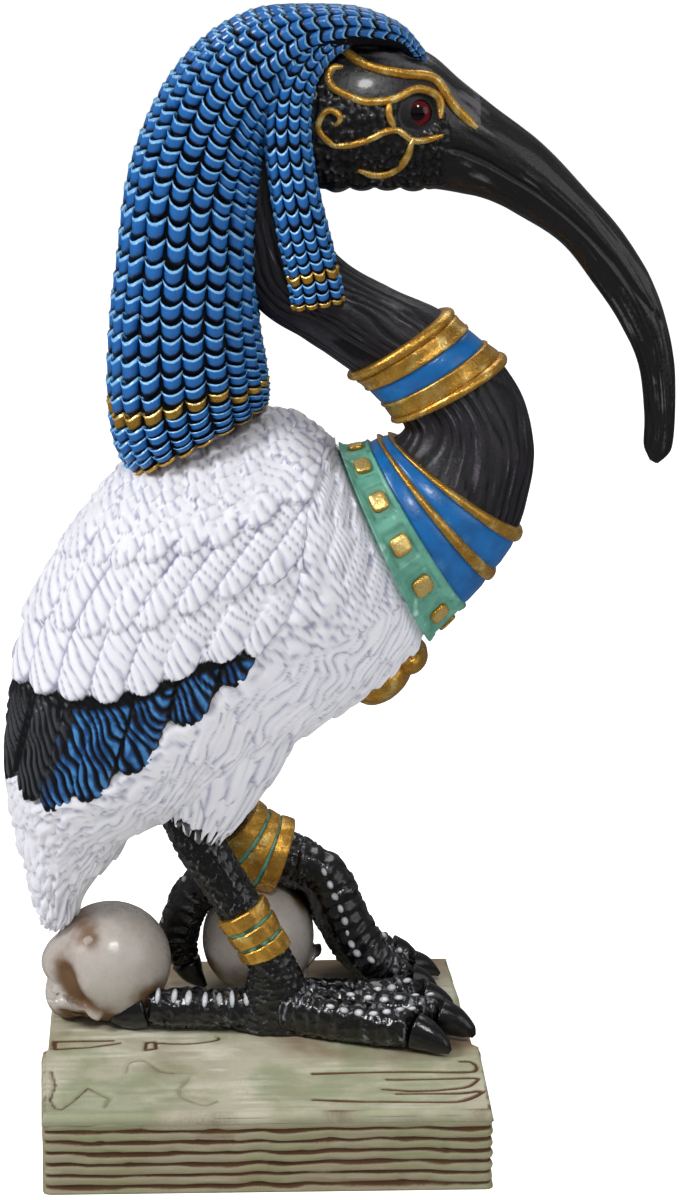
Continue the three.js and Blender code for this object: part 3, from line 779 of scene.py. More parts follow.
wornPiece("broadCollarGilt", [
    trunkRing("ringA", rollKnots(10.8, 11.15, 1.55), hammered),
    trunkRing("ringB", rollKnots(11.8, 12.12, 1.5), hammered),
], (2.0, 33, 0.5, 1.0), "gilt", "gilt")
wornPiece("broadCollarBlue", [
    trunkRing("blueA", [(11.05, 0.1), (11.14, 0.55), (11.3, 0.75), (11.65, 0.75), (11.8, 0.55), (11.88, 0.1)]),
    trunkRing("blueB", [(12.03, 0.1), (12.12, 0.5), (12.3, 0.7), (12.8, 0.7), (12.93, 0.5), (13.0, 0.1)]),
], (4.0, 34, 0.45, 1.0), "blue_enamel", "enamelBlue")

# The turquoise border: raised edges, and a row of cells with divider bars between them
border = {"from": 12.9, "to": 14.05, "cells": 13, "rise": 1.15, "cellDepth": 0.65, "bar": 0.15, "tileRise": 0.85,
          "lip": 0.25}


def borderShaping(t, grow, angle):
    place = (t * trunkSpan - border["from"]) / (border["to"] - border["from"])
    cell = (angle / (2 * math.pi) * border["cells"]) % 1.0
    inside = plateau(0.17, 0.23, 0.77, 0.83, place)
    inside = inside * smoothStep(border["bar"] - 0.05, border["bar"] + 0.04, 0.5 - np.abs(cell - 0.5))
    lip = hump(place - 0.06, 0.05) + hump(place - 0.94, 0.05)
    return t, np.where(grow > 0.2, grow - border["cellDepth"] * inside + border["lip"] * lip, grow)


knots = [(border["from"], 0.0)]
knots += [(between(border, share), border["rise"]) for share in np.linspace(0.02, 0.98, 30)] + [(border["to"], 0.0)]
tiled = trunkRing("broadCollarTiles", knots, borderShaping, collar["tileColumns"])
keepMark(tiled, "relief", 0.35 + 0.6 * softNoise(pointsOf(tiled), 1.6, 35))
finishPiece(tiled, "turquoise_enamel", "turquoise")
print("stage: collars")


# A small squarish pillow, for the gilt tiles
def pillowPattern():
    pickOnly()
    bpy.ops.mesh.primitive_cube_add(size=2)
    piece = named("pillow")
    edited(piece, lambda: bpy.ops.mesh.bevel(offset=0.5, segments=2, affect="EDGES"))
    return patternOf(piece, lambda p: 0.5 + 0.5 * np.clip(p[:, 2], -1, 1))


def patternOf(piece, marks):
    points = pointsOf(piece) * mm
    faces = [list(f.vertices) for f in piece.data.polygons]
    values = marks(points)
    bpy.data.objects.remove(piece)
    return points, faces, values


pillow = pillowPattern()
middles, axes = [], []
spot = lambda t, angle, rise=0.0: spotOn(formAt, trunk, t, angle, rise)
middle, halfCell = between(border, 0.5) / trunkSpan, math.pi / border["cells"]
for n in range(border["cells"]):
    angle = 2 * math.pi * (n + 0.5) / border["cells"]
    here = spot(middle, angle, border["tileRise"])
    ahead = unit(spot(middle + 0.002, angle, border["tileRise"]) - here)
    side = unit(spot(middle, angle + 0.01, border["tileRise"]) - here)
    out = turnedOut(unit(np.cross(side, ahead)), here - spot(middle, angle))
    room = np.linalg.norm(spot(middle, angle + halfCell) - spot(middle, angle - halfCell))
    low, high = between(border, 0.25) / trunkSpan, between(border, 0.75) / trunkSpan
    long = np.linalg.norm(spot(high, angle) - spot(low, angle))
    middles.append(here - out * 0.1)
    axes.append([side * min(0.24 * room, 2.15), ahead * min(0.46 * long, 2.2), out * 0.75])
tiles = copiesOf("giltTiles", pillow, middles, axes)
finishPiece(tiles, "gilt", "gilt")

# Rows of feathers over p, across, and q, towards their tips. Each tier lists its tips as q over p.
# The barbs start on a shaft near one edge and fan out towards the tip.
def feathersOver(p, q, tiers, seed):
    best = np.full(p.shape, -9.0)
    relief, rowOf, ridge, shade = (np.zeros(p.shape) for _ in range(4))
    fromTip = np.full(p.shape, 99.0)
    waver = 2 * softNoise(stacked(p, q, 0), 4.0, seed + 12) - 1
    for row, tier in enumerate(tiers):
        width, reach = tier["width"], tier.get("fanReach", 11.0)
        shift = tier.get("shift", 0.5 * (row % 2))
        tipHere = tier["tips"](p)
        first = np.floor(p / width - shift)
        for extra in (-1, 0, 1):
            n = first + extra
            zero = np.zeros_like(n)
            chance = [scatter(n, zero + row, zero, seed + k) for k in range(4)]
            middle = (n + 0.5 + shift + 0.2 * (chance[0] - 0.5)) * width
            tip = 0.65 * tier["tips"](middle) + 0.35 * tipHere + tier.get("ragged", 0.2) * width * (chance[1] - 0.5)
            aside, before = p - middle, tip - q
            rounding = tier.get("round", 0.6) * width
            half = 0.54 * width * dome(np.clip(rounding - before, 0, None) / rounding)
            inside = (before > 0) & (np.abs(aside) < half) & (before < tier["length"])
            share = np.clip(before / tier["length"], 0, 1)
            if tier.get("straight"):
                phase = aside / (tier["barb"] * (1.2 - 0.5 * share)) + 3 * chance[2] + tier.get("stray", 0.25) * waver
            else:
                lean, fan, out = tier.get("lean", 0.7), tier.get("fan", 3.0), aside + 0.6 * width
                start = (before + out * (lean + fan)) / (1 + out * fan / reach)
                phase = np.where(start < reach, start, before + out * lean) / tier["barb"] + 3 * chance[2]
                phase = phase + tier.get("stray", 0.25) * waver
            crest = np.clip(1 - (2 * (phase - np.floor(phase)) - 1) ** 2, 0, 1)
            barb = crest ** 0.85
            fromSide = half - np.abs(aside)
            crown = np.clip(1 - (aside / np.maximum(half, 0.05)) ** 2, 0, 1)
            lift = tier["rise"] * (1 - 0.8 * share) - 0.38 * tier["rise"] * (1 - np.sqrt(crown))
            lift = lift + tier["barbDepth"] * (barb - 1) - 0.45 * hump(fromSide, 0.5)
            lift = np.where(inside, lift + 0.2 * (chance[3] - 0.5), -9.0)
            # the tone darkens the barb grooves and the feather edges: painted shade, together with the grey washes
            edge = smoothStep(0.0, 0.8, fromSide)
            tone = (0.2 + 0.8 * crest) * (0.12 + 0.88 * edge)
            over = lift > best
            best = np.where(over, lift, best)
            relief = np.where(over, tone, relief)
            ridge = np.where(over, barb * edge, ridge)
            rowOf = np.where(over, row, rowOf)
            fromTip = np.where(over, before, fromTip)
            # painted shadow: the lower tier is darkened just below the tips of the tier above
            hidden = (before <= 0) & (before > -1.3) & (np.abs(aside) < 0.5 * width)
            shade = np.where(over, 0, np.maximum(shade, np.where(hidden, 1 + before / 1.3, 0)))
    relief = np.where(best < -2, 0.5, relief)
    return best, relief * (1 - 0.6 * shade), rowOf, fromTip, ridge


# The marks of plumage that has no quills
def plainPlumage(relief, grey):
    return {"relief": relief, "quill": 0 * relief, "blueStroke": 0 * relief, "greyScale": grey}


# Rows of straight-barbed feathers that follow one another at an even pitch
def straightRows(look, pitch, rows, start=0.0):
    return [dict(look, straight=True, tips=lambda at, k=k: np.full_like(at, pitch * k + start)) for k in rows]


wing = {
    "from": 14.15, "to": 22.8, "low": 0.34, "high": 0.998, "columns": 214, "rows": 244,
    "covert": {"length": 9.0, "barb": 2.0, "barbDepth": 0.26, "round": 0.7, "fan": 1.0, "fanReach": 6.0},
    "tiers": {
        "first": {"width": 5.1, "length": 20, "rise": 2.3, "barb": 2.1, "barbDepth": 0.65, "fan": 1.3},
        "second": {"width": 5.6, "length": 26, "rise": 2.4, "barb": 2.2, "barbDepth": 0.7, "fan": 1.3},
        "third": {"width": 6.9, "length": 30, "rise": 2.4, "barb": 2.3, "barbDepth": 0.75, "fan": 1.3,
                  "fanReach": 14.0},
        "quills": {"width": 7.6, "length": 46, "rise": 1.5, "barb": 2.7, "barbDepth": 0.75, "fan": 0.7,
                   "fanReach": 16.0, "ragged": 0.12, "round": 0.45, "lean": 1.3, "stray": 0.5},
    },
}


def wingShape(u, v):
    angle = math.pi * (wing["high"] + (wing["low"] - wing["high"]) * u)
    return formAt(trunk, between(wing, v) / trunkSpan, angle)


rearLine = [(-53.5, 66), (-55.3, 78.6), (-55.2, 84.6), (-54.2, 90), (-53.5, 95), (-52.2, 101), (-50.8, 107.5),
            (-49, 112.9), (-48.4, 116.7), (-45.3, 121), (-42, 125.7), (-39.2, 130), (-36, 135.4), (-33.3, 139.6),
            (-28.6, 143.8)]


# Places across and along the feathers, which lean more upright towards the tail
def featherAxes(drawn):
    x, z = drawn[..., 0], drawn[..., 1]
    off = np.clip(x - lineAt(rearLine, z, over=1), 0, None)
    bend = 20.0
    arc = np.where(off < bend, bend * np.arccos(np.clip(1 - off / bend, 0, 1)), bend * (math.pi / 2 - 1) + off)
    x = x + 0.45 * (arc - off) + 15
    lean = np.radians(237 + 15 * smoothStep(0, 45, 130 - z))
    return (z - 110) * np.cos(lean) - x * np.sin(lean), x * np.cos(lean) + (z - 110) * np.sin(lean)


# The lines of the feather tips as drawn over the photograph, tail side first
tipLines = {
    "first": [(-44, 127), (-37.5, 124), (-30, 122.9), (-22.6, 124), (-17.5, 125.5), (-9, 127), (-2.7, 130.6),
              (7.4, 135.8), (14, 140)],
    "second": [(-53, 113), (-45, 109.8), (-38.4, 108), (-32.5, 108), (-22.7, 109.7), (-15, 112.5), (-9, 114.9),
               (-4.5, 117), (7.4, 119.8), (14, 124)],
    "third": [(-57, 99), (-50.9, 96.3), (-46.8, 94.9), (-42.8, 92.7), (-36.5, 92.2), (-30.3, 92.6), (-24, 94.3),
              (-19.9, 96), (-13.6, 99.5), (-9, 100.7), (-4.2, 102.9), (-0.1, 103.3), (8, 107)],
    "quills": [(-57, 76), (-52.7, 73.3), (-49.6, 67.7), (-46.9, 66.8), (-43.7, 68.4), (-38.4, 69.4), (-34.1, 71.1),
               (-29.8, 74.2), (-24.5, 78.2), (-20.2, 84.4), (-17, 85.9), (-10.7, 89.1), (-8.5, 92.4), (-4.9, 95.3),
               (-2.2, 99), (-0.1, 102.6)],
}
wingFront = [(19, 160), (15.6, 146.6), (13.1, 138.2), (11.9, 129.8), (11, 121.3), (7.3, 110.5), (1.4, 103),
             (-0.5, 98)]


def tipsOver(line):
    found = np.array(sorted(zip(*featherAxes(np.array(line, float)))))
    return lambda at: np.interp(at, found[:, 0], found[:, 1])


def wingCarve(skin, u, v):
    drawn = drawnOf(skin)
    p, q = featherAxes(drawn)
    tips = {key: tipsOver(line) for key, line in tipLines.items()}
    tiers = [dict(wing["covert"], width=4.3 + 0.05 * k, rise=1.5 + 0.06 * k,
                  tips=lambda at, back=36 - 4 * k: tips["first"](at) - back) for k in range(9)]
    tiers += [dict(wing["tiers"][key], tips=tips[key]) for key in tipLines]
    height, relief, row, fromTip, ridge = feathersOver(p, q, tiers, 41)
    frontX = lineAt(wingFront, drawn[..., 1], over=1)
    front = smoothStep(-0.4, 1.6, frontX - drawn[..., 0])
    lowZ = lineAt(tipLines["quills"], drawn[..., 0])
    below = smoothStep(-2.6, -0.6, drawn[..., 1] - lowZ)
    height = np.where(height > -2, height - 0.85, np.where(q < tips["quills"](p) - 3, -0.9, -2.6))
    height = height * front * below - 2.6 * (1 - front * below)
    side = np.minimum(np.minimum(u * 90, (1 - u) * 90), np.minimum(v, 1 - v) * 120)
    height = np.where(side < 0.6, -2.8, height)
    quill = ((row == len(tiers) - 1) | (ridge == 0)) & (height > -2.2) & (q > tips["third"](p) - 2.0)
    under = q - tips["third"](p)
    stroke = smoothStep(0.2, 1.1, ridge) * smoothStep(0.3, 2.4, fromTip) * smoothStep(0.2, 2.4, under)
    firstBlue = featherAxes(np.array([-44.4, 80.0]))[0]
    patchy = softNoise(stacked(p, q / 3, 0), 1.8, 47)
    blue = smoothStep(-1.6, 1.6, p - firstBlue + 5 * (patchy - 0.5))
    stroke = np.clip(stroke * (0.78 + 0.6 * patchy), 0, 1)
    # on the black quills the grey mark follows the crests of the strokes, as a painted highlight
    return height, {"relief": np.clip(relief, 0, 1), "quill": quill.astype(float), "blueStroke": stroke * blue,
                    "greyScale": quill * (1 - blue) * smoothStep(0.6, 1.0, stroke)}


nearWing = laidSkin("wingNear", wing["columns"], wing["rows"], wingShape, wingCarve, around=(0, -1, 0))[0]
for piece in (nearWing, mirrored(nearWing, "wingFar")):
    finishPiece(piece, "white_plumage", "plumage")
print("stage: wings")

body = {
    "from": 13.7, "to": 26.0, "columns": 276, "rows": 240,
    "scales": {"width": 6.8, "length": 12, "rise": 2.6, "barb": 2.0, "barbDepth": 0.7, "round": 0.62, "ragged": 0.4,
               "stray": 0.4},
    "long": {"width": 4.6, "length": 26, "rise": 2.1, "barb": 2.1, "barbDepth": 0.9, "round": 1.7, "ragged": 2.4,
             "stray": 0.6},
}


def bodyAngle(u):
    # closer columns on the breast, belly and back than under the wings
    knotsU = [0, 0.31, 0.42, 0.5, 0.58, 0.69, 1]
    knotsAngle = [0, 0.36, 0.8, 1.0, 1.2, 1.64, 2.0]
    return math.pi * np.interp(u, knotsU, knotsAngle)


# and closer rows on the breast than on the tail
def bodyPlace(v):
    return between(body, np.interp(v, [0, 0.62, 1], [0, 0.45, 1]))


def bodyShape(u, v):
    return formAt(trunk, bodyPlace(v) / trunkSpan, bodyAngle(u))


# The breast's scales end along this line, as drawn; long soft feathers follow below it
scalesEnd = [(-60, 101), (6.2, 101.4), (14.1, 103), (19.3, 106.3), (23.6, 108.1), (28, 112.6), (45, 114)]


def bodyCarve(skin, u, v):
    half = skin.shape[1] // 2
    along, across = lengthsOver(skin)
    fromBelly = np.where(np.arange(skin.shape[1])[None] <= half, across, across[:, -1:] - across)
    # the feathers point somewhat down to the belly, but straight back on the tail
    turn = np.radians(25) * (1 - smoothStep(19, 22.5, bodyPlace(v)))
    p = fromBelly * np.cos(turn) + (along - 90) * np.sin(turn)
    q = (along - 90) * np.cos(turn) - fromBelly * np.sin(turn) + 90
    scales, scaleTone = feathersOver(p, q, straightRows(body["scales"], 6.2, range(-8, 14), 3), 60)[:2]
    bend = uneven(skin, 14.0, 63) * 7
    long, longTone = feathersOver(p + bend, q, straightRows(body["long"], 9.0, range(-4, 19)), 66)[:2]
    drawn = drawnBothSides(skin)
    line = lineAt(scalesEnd, drawn[..., 0])
    low = 1 - smoothStep(-0.8, 0.8, drawn[..., 1] - line)
    height = (1 - low) * (np.maximum(scales, -0.4) - 0.8) + low * (np.maximum(long, -0.4) - 0.75)
    relief = (1 - low) * scaleTone + low * (0.12 + 0.88 * longTone)
    # flat and sunk where it starts, under the turquoise border
    start = smoothStep(0.035, 0.085, v)
    height = height * start * (1 - smoothStep(0.985, 1.0, v)) - 0.5 * (1 - start)
    frontX = lineAt(wingFront, drawn[..., 1], over=1)
    lowZ = lineAt(tipLines["quills"], drawn[..., 0])
    under = smoothStep(0.5, 2.5, frontX - drawn[..., 0]) * smoothStep(0.5, 3, drawn[..., 1] - lowZ)
    height = height * (1 - under) - 2.2 * under - 0.3
    hump = smoothStep(146, 149, skin[..., 2]) * smoothStep(-2, 4, skin[..., 0])
    return height, plainPlumage(np.clip(relief, 0, 1), 0.85 * hump)


bodyPiece = laidSkin("body", body["columns"], body["rows"], bodyShape, bodyCarve)[0]
finishPiece(bodyPiece, "white_plumage", "plumage")
print("stage: body")

# Thighs
thigh = {
    "columns": 96, "rows": 84, "points": 14, "around": 46, "long": 34,
    "feathers": {"width": 46 / 12, "length": 20, "rise": 1.6, "barb": 1.9, "barbDepth": 0.9, "round": 1.6,
                 "ragged": 1.6},
}


def thighPiece(name, offset, seed):
    form = {"stations": [[-6, 0.75 * offset, 96, 10, 17], [-8, 0.9 * offset, 84, 10, 14], [-10, offset, 75, 8.5, 10],
                         [-12, offset, 68, 6.4, 6.6], [-13, offset, 64, 4.6, 4.8]]}

    def shape(u, v):
        lane = np.floor(u * thigh["points"] + 0.5) % thigh["points"]
        jag = scatter(lane, np.zeros_like(u), np.zeros_like(u), seed)
        point = 1 - (2 * ((u * thigh["points"] + 0.5) % 1.0) - 1) ** 2
        reach = 1.0 - 0.3 * (1 - point * (0.35 + 0.65 * jag)) * v ** 2
        return limbAt(form, v * reach, 2 * math.pi * u)

    def carve(skin, u, v):
        rows = straightRows(thigh["feathers"], 8.0, range(7))
        lift, tone = feathersOver(u * thigh["around"], v * thigh["long"], rows, seed)[:2]
        return np.maximum(lift, -0.4) - 0.4, plainPlumage(0.05 + 0.95 * tone, 0 * u)

    finishPiece(laidSkin(name, thigh["columns"], thigh["rows"], shape, carve)[0], "white_plumage", "plumage")


thighPiece("thighNear", -8, 81)
thighPiece("thighFar", 11, 82)

# The pendant's lobes, each as x, z, long, deep and wide, with a furrow along the lower side
pendant = {"lobes": ((27.4, 98.0, 7.6, 5.0, 9.6), (33.4, 102.6, 4.2, 3.8, 8.2)), "tilt": -0.72, "furrow": 0.25,
           "furrowWidth": 0.9}
lobes = []
for x, z, long, deep, wide in pendant["lobes"]:
    lobe = addSphere("lobe", 48, 28, mm)
    points = pointsOf(lobe)
    points = points * (1 + 0.05 * uneven(points * 3 + 9, 1.0, 91)[:, None])
    points = points * np.array([long, wide, deep])
    furrow = pendant["furrow"] * hump(points[:, 1], pendant["furrowWidth"])
    points[:, 2] = points[:, 2] * (1 - furrow * (points[:, 2] < 0))
    placePoints(lobe, tipped(points, pendant["tilt"]) + np.array([x, birdMiddle, z]))
    lobes.append(lobe)
wornPiece("pendant", lobes, (3.0, 92, 0.35, 1.0), "gilt", "gilt")
print("stage: thighs and pendant")

# Head and beak
head = {"columns": 150, "rows": 234, "stations": [
    [5, 228, 5, 206, 9], [13, 232, 13, 203.4, 11], [21, 233.6, 21.5, 203.6, 11.8], [29, 233, 29.5, 203.6, 11],
    [36.5, 230.6, 36.5, 203.3, 9], [43, 225.3, 42.5, 202.4, 7.2], [50, 219.9, 49, 200.8, 6],
    [59.8, 212.6, 56.5, 197.2, 5], [70, 202.2, 64.5, 191.9, 4.4], [77.9, 193.3, 71, 184, 4],
    [84.2, 183.1, 77, 175.4, 3.6], [88.3, 170.6, 81.4, 166.3, 3.2], [90, 157, 83, 156, 2.8],
    [89.2, 148.3, 83.2, 149.2, 2.1], [86.3, 144.9, 84.6, 145.6, 0.9],
]}
faceLines = {
    "brow": {"half": 1.0, "points": [(17.6, 232.2), (23.2, 228.3), (30.8, 226.5), (37.4, 225.5), (41.4, 220.1),
                                     (46.3, 215.6)]},
    "upperLid": {"half": 0.85, "points": [(18.9, 227.8), (16.2, 227.6), (16.4, 224.1), (22.7, 221.1), (28.8, 221.3),
                                          (33.8, 223.6), (38.4, 221.9), (39, 217.6)]},
    "rearOfEye": {"half": 0.75, "points": [(28.3, 221.3), (28.3, 218.4), (29.5, 215.2)]},
    "spiral": {"half": 0.7, "points": [(17.1, 216.1), (18.7, 217.6), (15.6, 219.4), (13.7, 215.6), (17.1, 212.2),
                                       (22.7, 212.8), (29.5, 215.4), (33.3, 213), (39.6, 214.2)]},
    "drop": {"half": 0.8, "points": [(33.3, 213.4), (31.3, 208.5), (26.7, 206.1), (21.9, 207.2)]},
}
eye = {"middle": (34.1, 218.6), "radius": 3.1, "socket": 4.9, "flat": 0.72, "sunk": 0.5,
       "iris": ((44, 3, 10), (118, 14, 30)), "pupil": (10, 4, 6), "rim": (8, 4, 5)}
beakGroove = [(40, 211.5), (43.8, 210.8), (49, 208.5), (54.2, 205.4), (59.5, 202), (64.7, 198), (70, 193.4),
              (75.5, 187.8), (80.8, 181), (85.6, 175.7)]


def distanceToLine(points, line):
    nearest = np.full(points.shape[:-1], 999.0)
    share = np.zeros(points.shape[:-1])
    for k, (start, end) in enumerate(zip(line[:-1], line[1:])):
        start, end = np.array(start), np.array(end)
        run = end - start
        s = np.clip(((points - start) @ run) / (run @ run), 0, 1)
        gap = np.linalg.norm(points - start - s[..., None] * run, axis=-1)
        share = np.where(gap < nearest, (k + s) / (len(line) - 1), share)
        nearest = np.minimum(nearest, gap)
    return nearest, share


def headShape(u, v):
    return formAt(head, v, 2 * math.pi * u)


def headCarve(skin, u, v):
    drawn = drawnBothSides(skin)
    x, z = drawn[..., 0], drawn[..., 1]
    browZ = lineAt([(10, 234)] + faceLines["brow"]["points"], x)
    lidZ = lineAt([(12, 226)] + faceLines["upperLid"]["points"][2:-1] + [(40, 219)], x)
    rough = smoothStep(0, 1.2, lidZ - z) * (1 - smoothStep(38.5, 41.5, x)) * smoothStep(203.6, 204.8, z)
    rough = rough * smoothStep(0.2, 1.6, np.abs(skin[..., 1] - birdMiddle))
    bumps = pebbles(skin, 1.6, 51)
    eyeGap = np.linalg.norm(drawn - np.array(eye["middle"]), axis=-1)
    socket = 1 - smoothStep(eye["radius"] + 0.4, eye["socket"] + 0.6, eyeGap)
    rough = rough * (1 - socket)
    height = rough * (1.1 * bumps - 0.4) - 0.9 * socket
    gap, share = distanceToLine(drawn, beakGroove)
    slot = hump(gap, 0.6) * (1 - 0.7 * share) * smoothStep(0.02, 0.12, share + 0.05)
    beak = smoothStep(41, 47, x)
    length = v * 165
    turned = stacked(np.cos(2 * math.pi * u) * 9, np.sin(2 * math.pi * u) * 9, length / 9)
    fine = uneven(turned, 0.75, 52)
    coarse = uneven(turned, 1.9, 53)
    height = height - 1.0 * slot + beak * (0.16 * fine + 0.26 * coarse) + (1 - beak) * (1 - rough) * 0.1 * coarse
    # the loose skin of the throat hangs in small scallops
    throat = (1 - smoothStep(203.2, 206.5, skin[..., 2])) * plateau(14, 17, 35, 38, x)
    height = height + throat * 0.9 * np.abs(np.sin(math.pi * (skin[..., 0] - 15) / 5.2)) ** 0.7 * (z < 208)
    crown = smoothStep(0, 1.5, z - browZ) * (x < 47)
    relief = np.clip(0.64 + 0.4 * fine + 0.35 * coarse - 0.8 * slot, 0, 1)
    # the tops of the pebbles are painted lighter, as glints, and the crown above the brow is painted lighter, as a
    # sheen
    relief = relief * (1 - rough) + rough * np.clip(0.06 + 0.8 * bumps, 0, 1)
    relief = relief * (1 - 0.95 * socket) + 0.16 * crown
    return height, {"relief": np.clip(relief, 0, 1)}


headPiece, headGrid = laidSkin("headAndBeak", head["columns"], head["rows"], headShape, headCarve)
finishPiece(headPiece, "black_skin", "blackSkin")
headNormals = outwardOf(headGrid, True)


def curvedLine(points, count):
    return evenly(splineAt(points, np.linspace(0, 1, 400)), count)


# A raised round line through points on the skin, thinner towards its ends
def raisedLine(name, seats, half):
    data = bpy.data.curves.new(name, "CURVE")
    data.dimensions = "3D"
    data.bevel_depth = half * mm
    data.bevel_resolution = 3
    data.use_fill_caps = True
    spline = data.splines.new("POLY")
    spline.points.add(len(seats) - 1)
    ends = np.minimum(np.arange(len(seats)), np.arange(len(seats))[::-1]) / 4.0
    for n, point in enumerate(spline.points):
        point.co = (*(seats[n] * mm), 1)
        point.radius = 0.5 + 0.5 * min(1.0, ends[n])
    piece = addObject(name, data)
    pickOnly(piece)
    bpy.ops.object.convert(target="MESH")
    return named(name)


def smoothRun(values, rounds=3):
    for _ in range(rounds):
        values[1:-1] = 0.25 * values[:-2] + 0.5 * values[1:-1] + 0.25 * values[2:]
    return values


parts = []
for side in (1, -1):
    for key, line in faceLines.items():
        drawn, run = curvedLine(line["points"], 60)
        count = max(14, int(run / 0.6))
        drawn, run = curvedLine(line["points"], count)
        seats = smoothRun(seatOn(headGrid, headNormals, drawn, side, 0.25 * line["half"]))
        parts.append(raisedLine(key, seats, line["half"]))
wornPiece("faceLines", parts, (1.6, 55, 0.55, 1.05), "gilt", "gilt")


def eyeMaterial():
    material, tree, shader = emptyMaterial("eyeRed")
    depth = markOf(tree, "relief")
    rays = addNoise(tree, objectPlace(tree), 1500.0, 3.0)
    iris = addMix(tree, rays, *(colourOf(*tone) for tone in eye["iris"]))
    iris = addMix(tree, addRamp(tree, depth, 0.82, 0.9), iris, colourOf(*eye["pupil"]))
    feed(tree, shader, {
        "Base Color": addMix(tree, addRamp(tree, depth, 0.42, 0.6), colourOf(*eye["rim"]), iris),
        "Roughness": addMath(tree, "MULTIPLY_ADD", rays, 0.08, 0.04), "Coat Weight": 0.3, "Coat Roughness": 0.03,
        "Specular IOR Level": 0.3,
    })
    return material


paints["eyeRed"] = eyeMaterial()
seat = seatOn(headGrid, headNormals, [eye["middle"]], 1)[0]
for name, side in (("eyeNear", 1), ("eyeFar", -1)):
    ball = addSphere(name, 40, 24, eye["radius"] * mm)
    points = pointsOf(ball)
    outward = -points[:, 1] / eye["radius"]
    points = points * np.array([1, eye["flat"], 1]) + seat + np.array([0, eye["sunk"] * eye["radius"], 0])
    placePoints(ball, farSide(points) if side < 0 else points)
    keepMark(ball, "relief", np.clip(outward, 0, 1))
    closeSkin(ball, weld=False)
    finishPiece(ball, "eye_red", "eyeRed")
print("stage: head, face lines and eyes")

# The bead wig
wig = {"squareness": 2.5, "strands": 22, "rows": 46, "from": 0.045, "beadSink": 0.95, "stations": [
    [38, 227.6, 33, 226.4, 4], [35.4, 232.4, 31.5, 230, 7], [30, 237.4, 29, 231.8, 9], [20, 240.6, 20.5, 232, 13],
    [9, 241, 13.5, 229, 15.3], [-0.3, 239, 9, 223, 16.6], [-8.5, 234.5, 5, 217, 17.4], [-15.6, 227.3, 3, 211, 17.8],
    [-21.2, 217.7, 2, 205, 17.8], [-25.4, 205.8, 1.2, 198, 17.5], [-27.8, 190, 1, 187, 17.2], [-29.7, 176, 1, 176, 17],
    [-30.4, 160.5, 2.2, 168, 17], [-29, 150, 2.8, 162.5, 17], [-25.9, 144.1, 2.6, 159.4, 17],
]}


# One bead: half a barrel with a flared, dished upper rim and a rounded foot, closer meshed in front.
# x runs across the strand, y up it and z outwards, each to about 1.
def beadPattern():
    piece = addSphere("bead", 10, 6)
    edited(piece, lambda: bpy.ops.transform.rotate(value=math.radians(90), orient_axis="X", center_override=(0, 0, 0)))
    points = pointsOf(piece) * mm
    level = np.round((90 - np.degrees(np.arcsin(np.clip(points[:, 1], -1, 1)))) / 30).astype(int)
    turn = np.arctan2(points[:, 0], points[:, 2])
    turn = turn * (0.62 + 0.38 * (turn / math.pi) ** 2)
    reach = np.array([0, 0.8, 1.0, 0.86, 0.8, 0.6, 0])[level]
    points[:, 0] = reach * np.sin(turn)
    points[:, 2] = reach * np.cos(turn)
    points[:, 1] = np.array([0.3, 0.4, 0.78, 0.3, -0.5, -0.92, -0.9])[level]
    # the rim rises at its two corners and both edges sag in the middle
    points[:, 1] += 0.76 * (points[:, 0] ** 2 - 0.35)
    placePoints(piece, points / mm)
    # the relief mark is highest on the flared upper rim and lowest at the foot, so each bead is painted light on its
    # rim, as a highlight with some dry-brushing, and dark towards its foot, as painted shade
    return patternOf(piece, lambda p: np.array([0.35, 0.5, 1.2, 0.74, 0.46, 0.12, 0.05])[level])


bead = beadPattern()
beadShare = 1.05  # each bead is a little wider than its place in the row


# Bead places along the strands of a form; each row lies at one place along it
def beadPlaces(place, form, strands, rowPlaces, wideShare, grow, keep):
    middles, axes, rows, turns = [], [], [], []
    fine = np.linspace(0, 2 * math.pi, 241)
    step = (rowPlaces[-1] - rowPlaces[0]) / (len(rowPlaces) - 1)
    for r, t in enumerate(rowPlaces):
        ts = np.full(241, t)
        ring = place(form, ts, fine, grow)
        run = runOf(ring)
        pitch = run[-1] / strands
        for s in range(strands):
            angle = np.interp(run[-1] * s / strands, run, fine)
            one = lambda dt, da, rise=grow: spotOn(place, form, t + dt, angle + da, rise)
            here = one(0, 0)
            up = one(-0.5 * step, 0) - one(0.5 * step, 0)
            long = np.linalg.norm(up)
            up = up / max(long, 1e-6)
            side = unit(one(0, 0.02) - one(0, -0.02))
            out = turnedOut(unit(np.cross(side, up)), here - one(0, 0, grow - 1))
            if not keep(t, angle, here):
                continue
            # set by hand, so none is quite in line
            chance = [float(scatter(np.array(r), np.array(s), np.array(k), 201)) - 0.5 for k in range(4)]
            middles.append(here + side * pitch * 0.1 * chance[0] + up * long * 0.16 * chance[1])
            side = unit(side + up * 0.16 * chance[2])
            axes.append([side * pitch * (0.5 + 0.06 * chance[3]) * wideShare, up * long * 0.5, out * pitch * 0.36])
            rows.append(r)
            turns.append(s)
    return np.array(middles), np.array(axes), np.array(rows), np.array(turns)


rowPlaces = np.linspace(wig["from"], 0.993, wig["rows"])


def wigKeep(t, angle, here):
    turn = abs(((angle + math.pi) % (2 * math.pi)) - math.pi)
    limit = 0.8 + 0.2 * float(smoothStep(0.3, 0.5, np.array(t)))
    return turn < limit * math.pi + 0.01


middles, axes, rows, turns = beadPlaces(formAt, wig, wig["strands"], rowPlaces, beadShare, -wig["beadSink"], wigKeep)


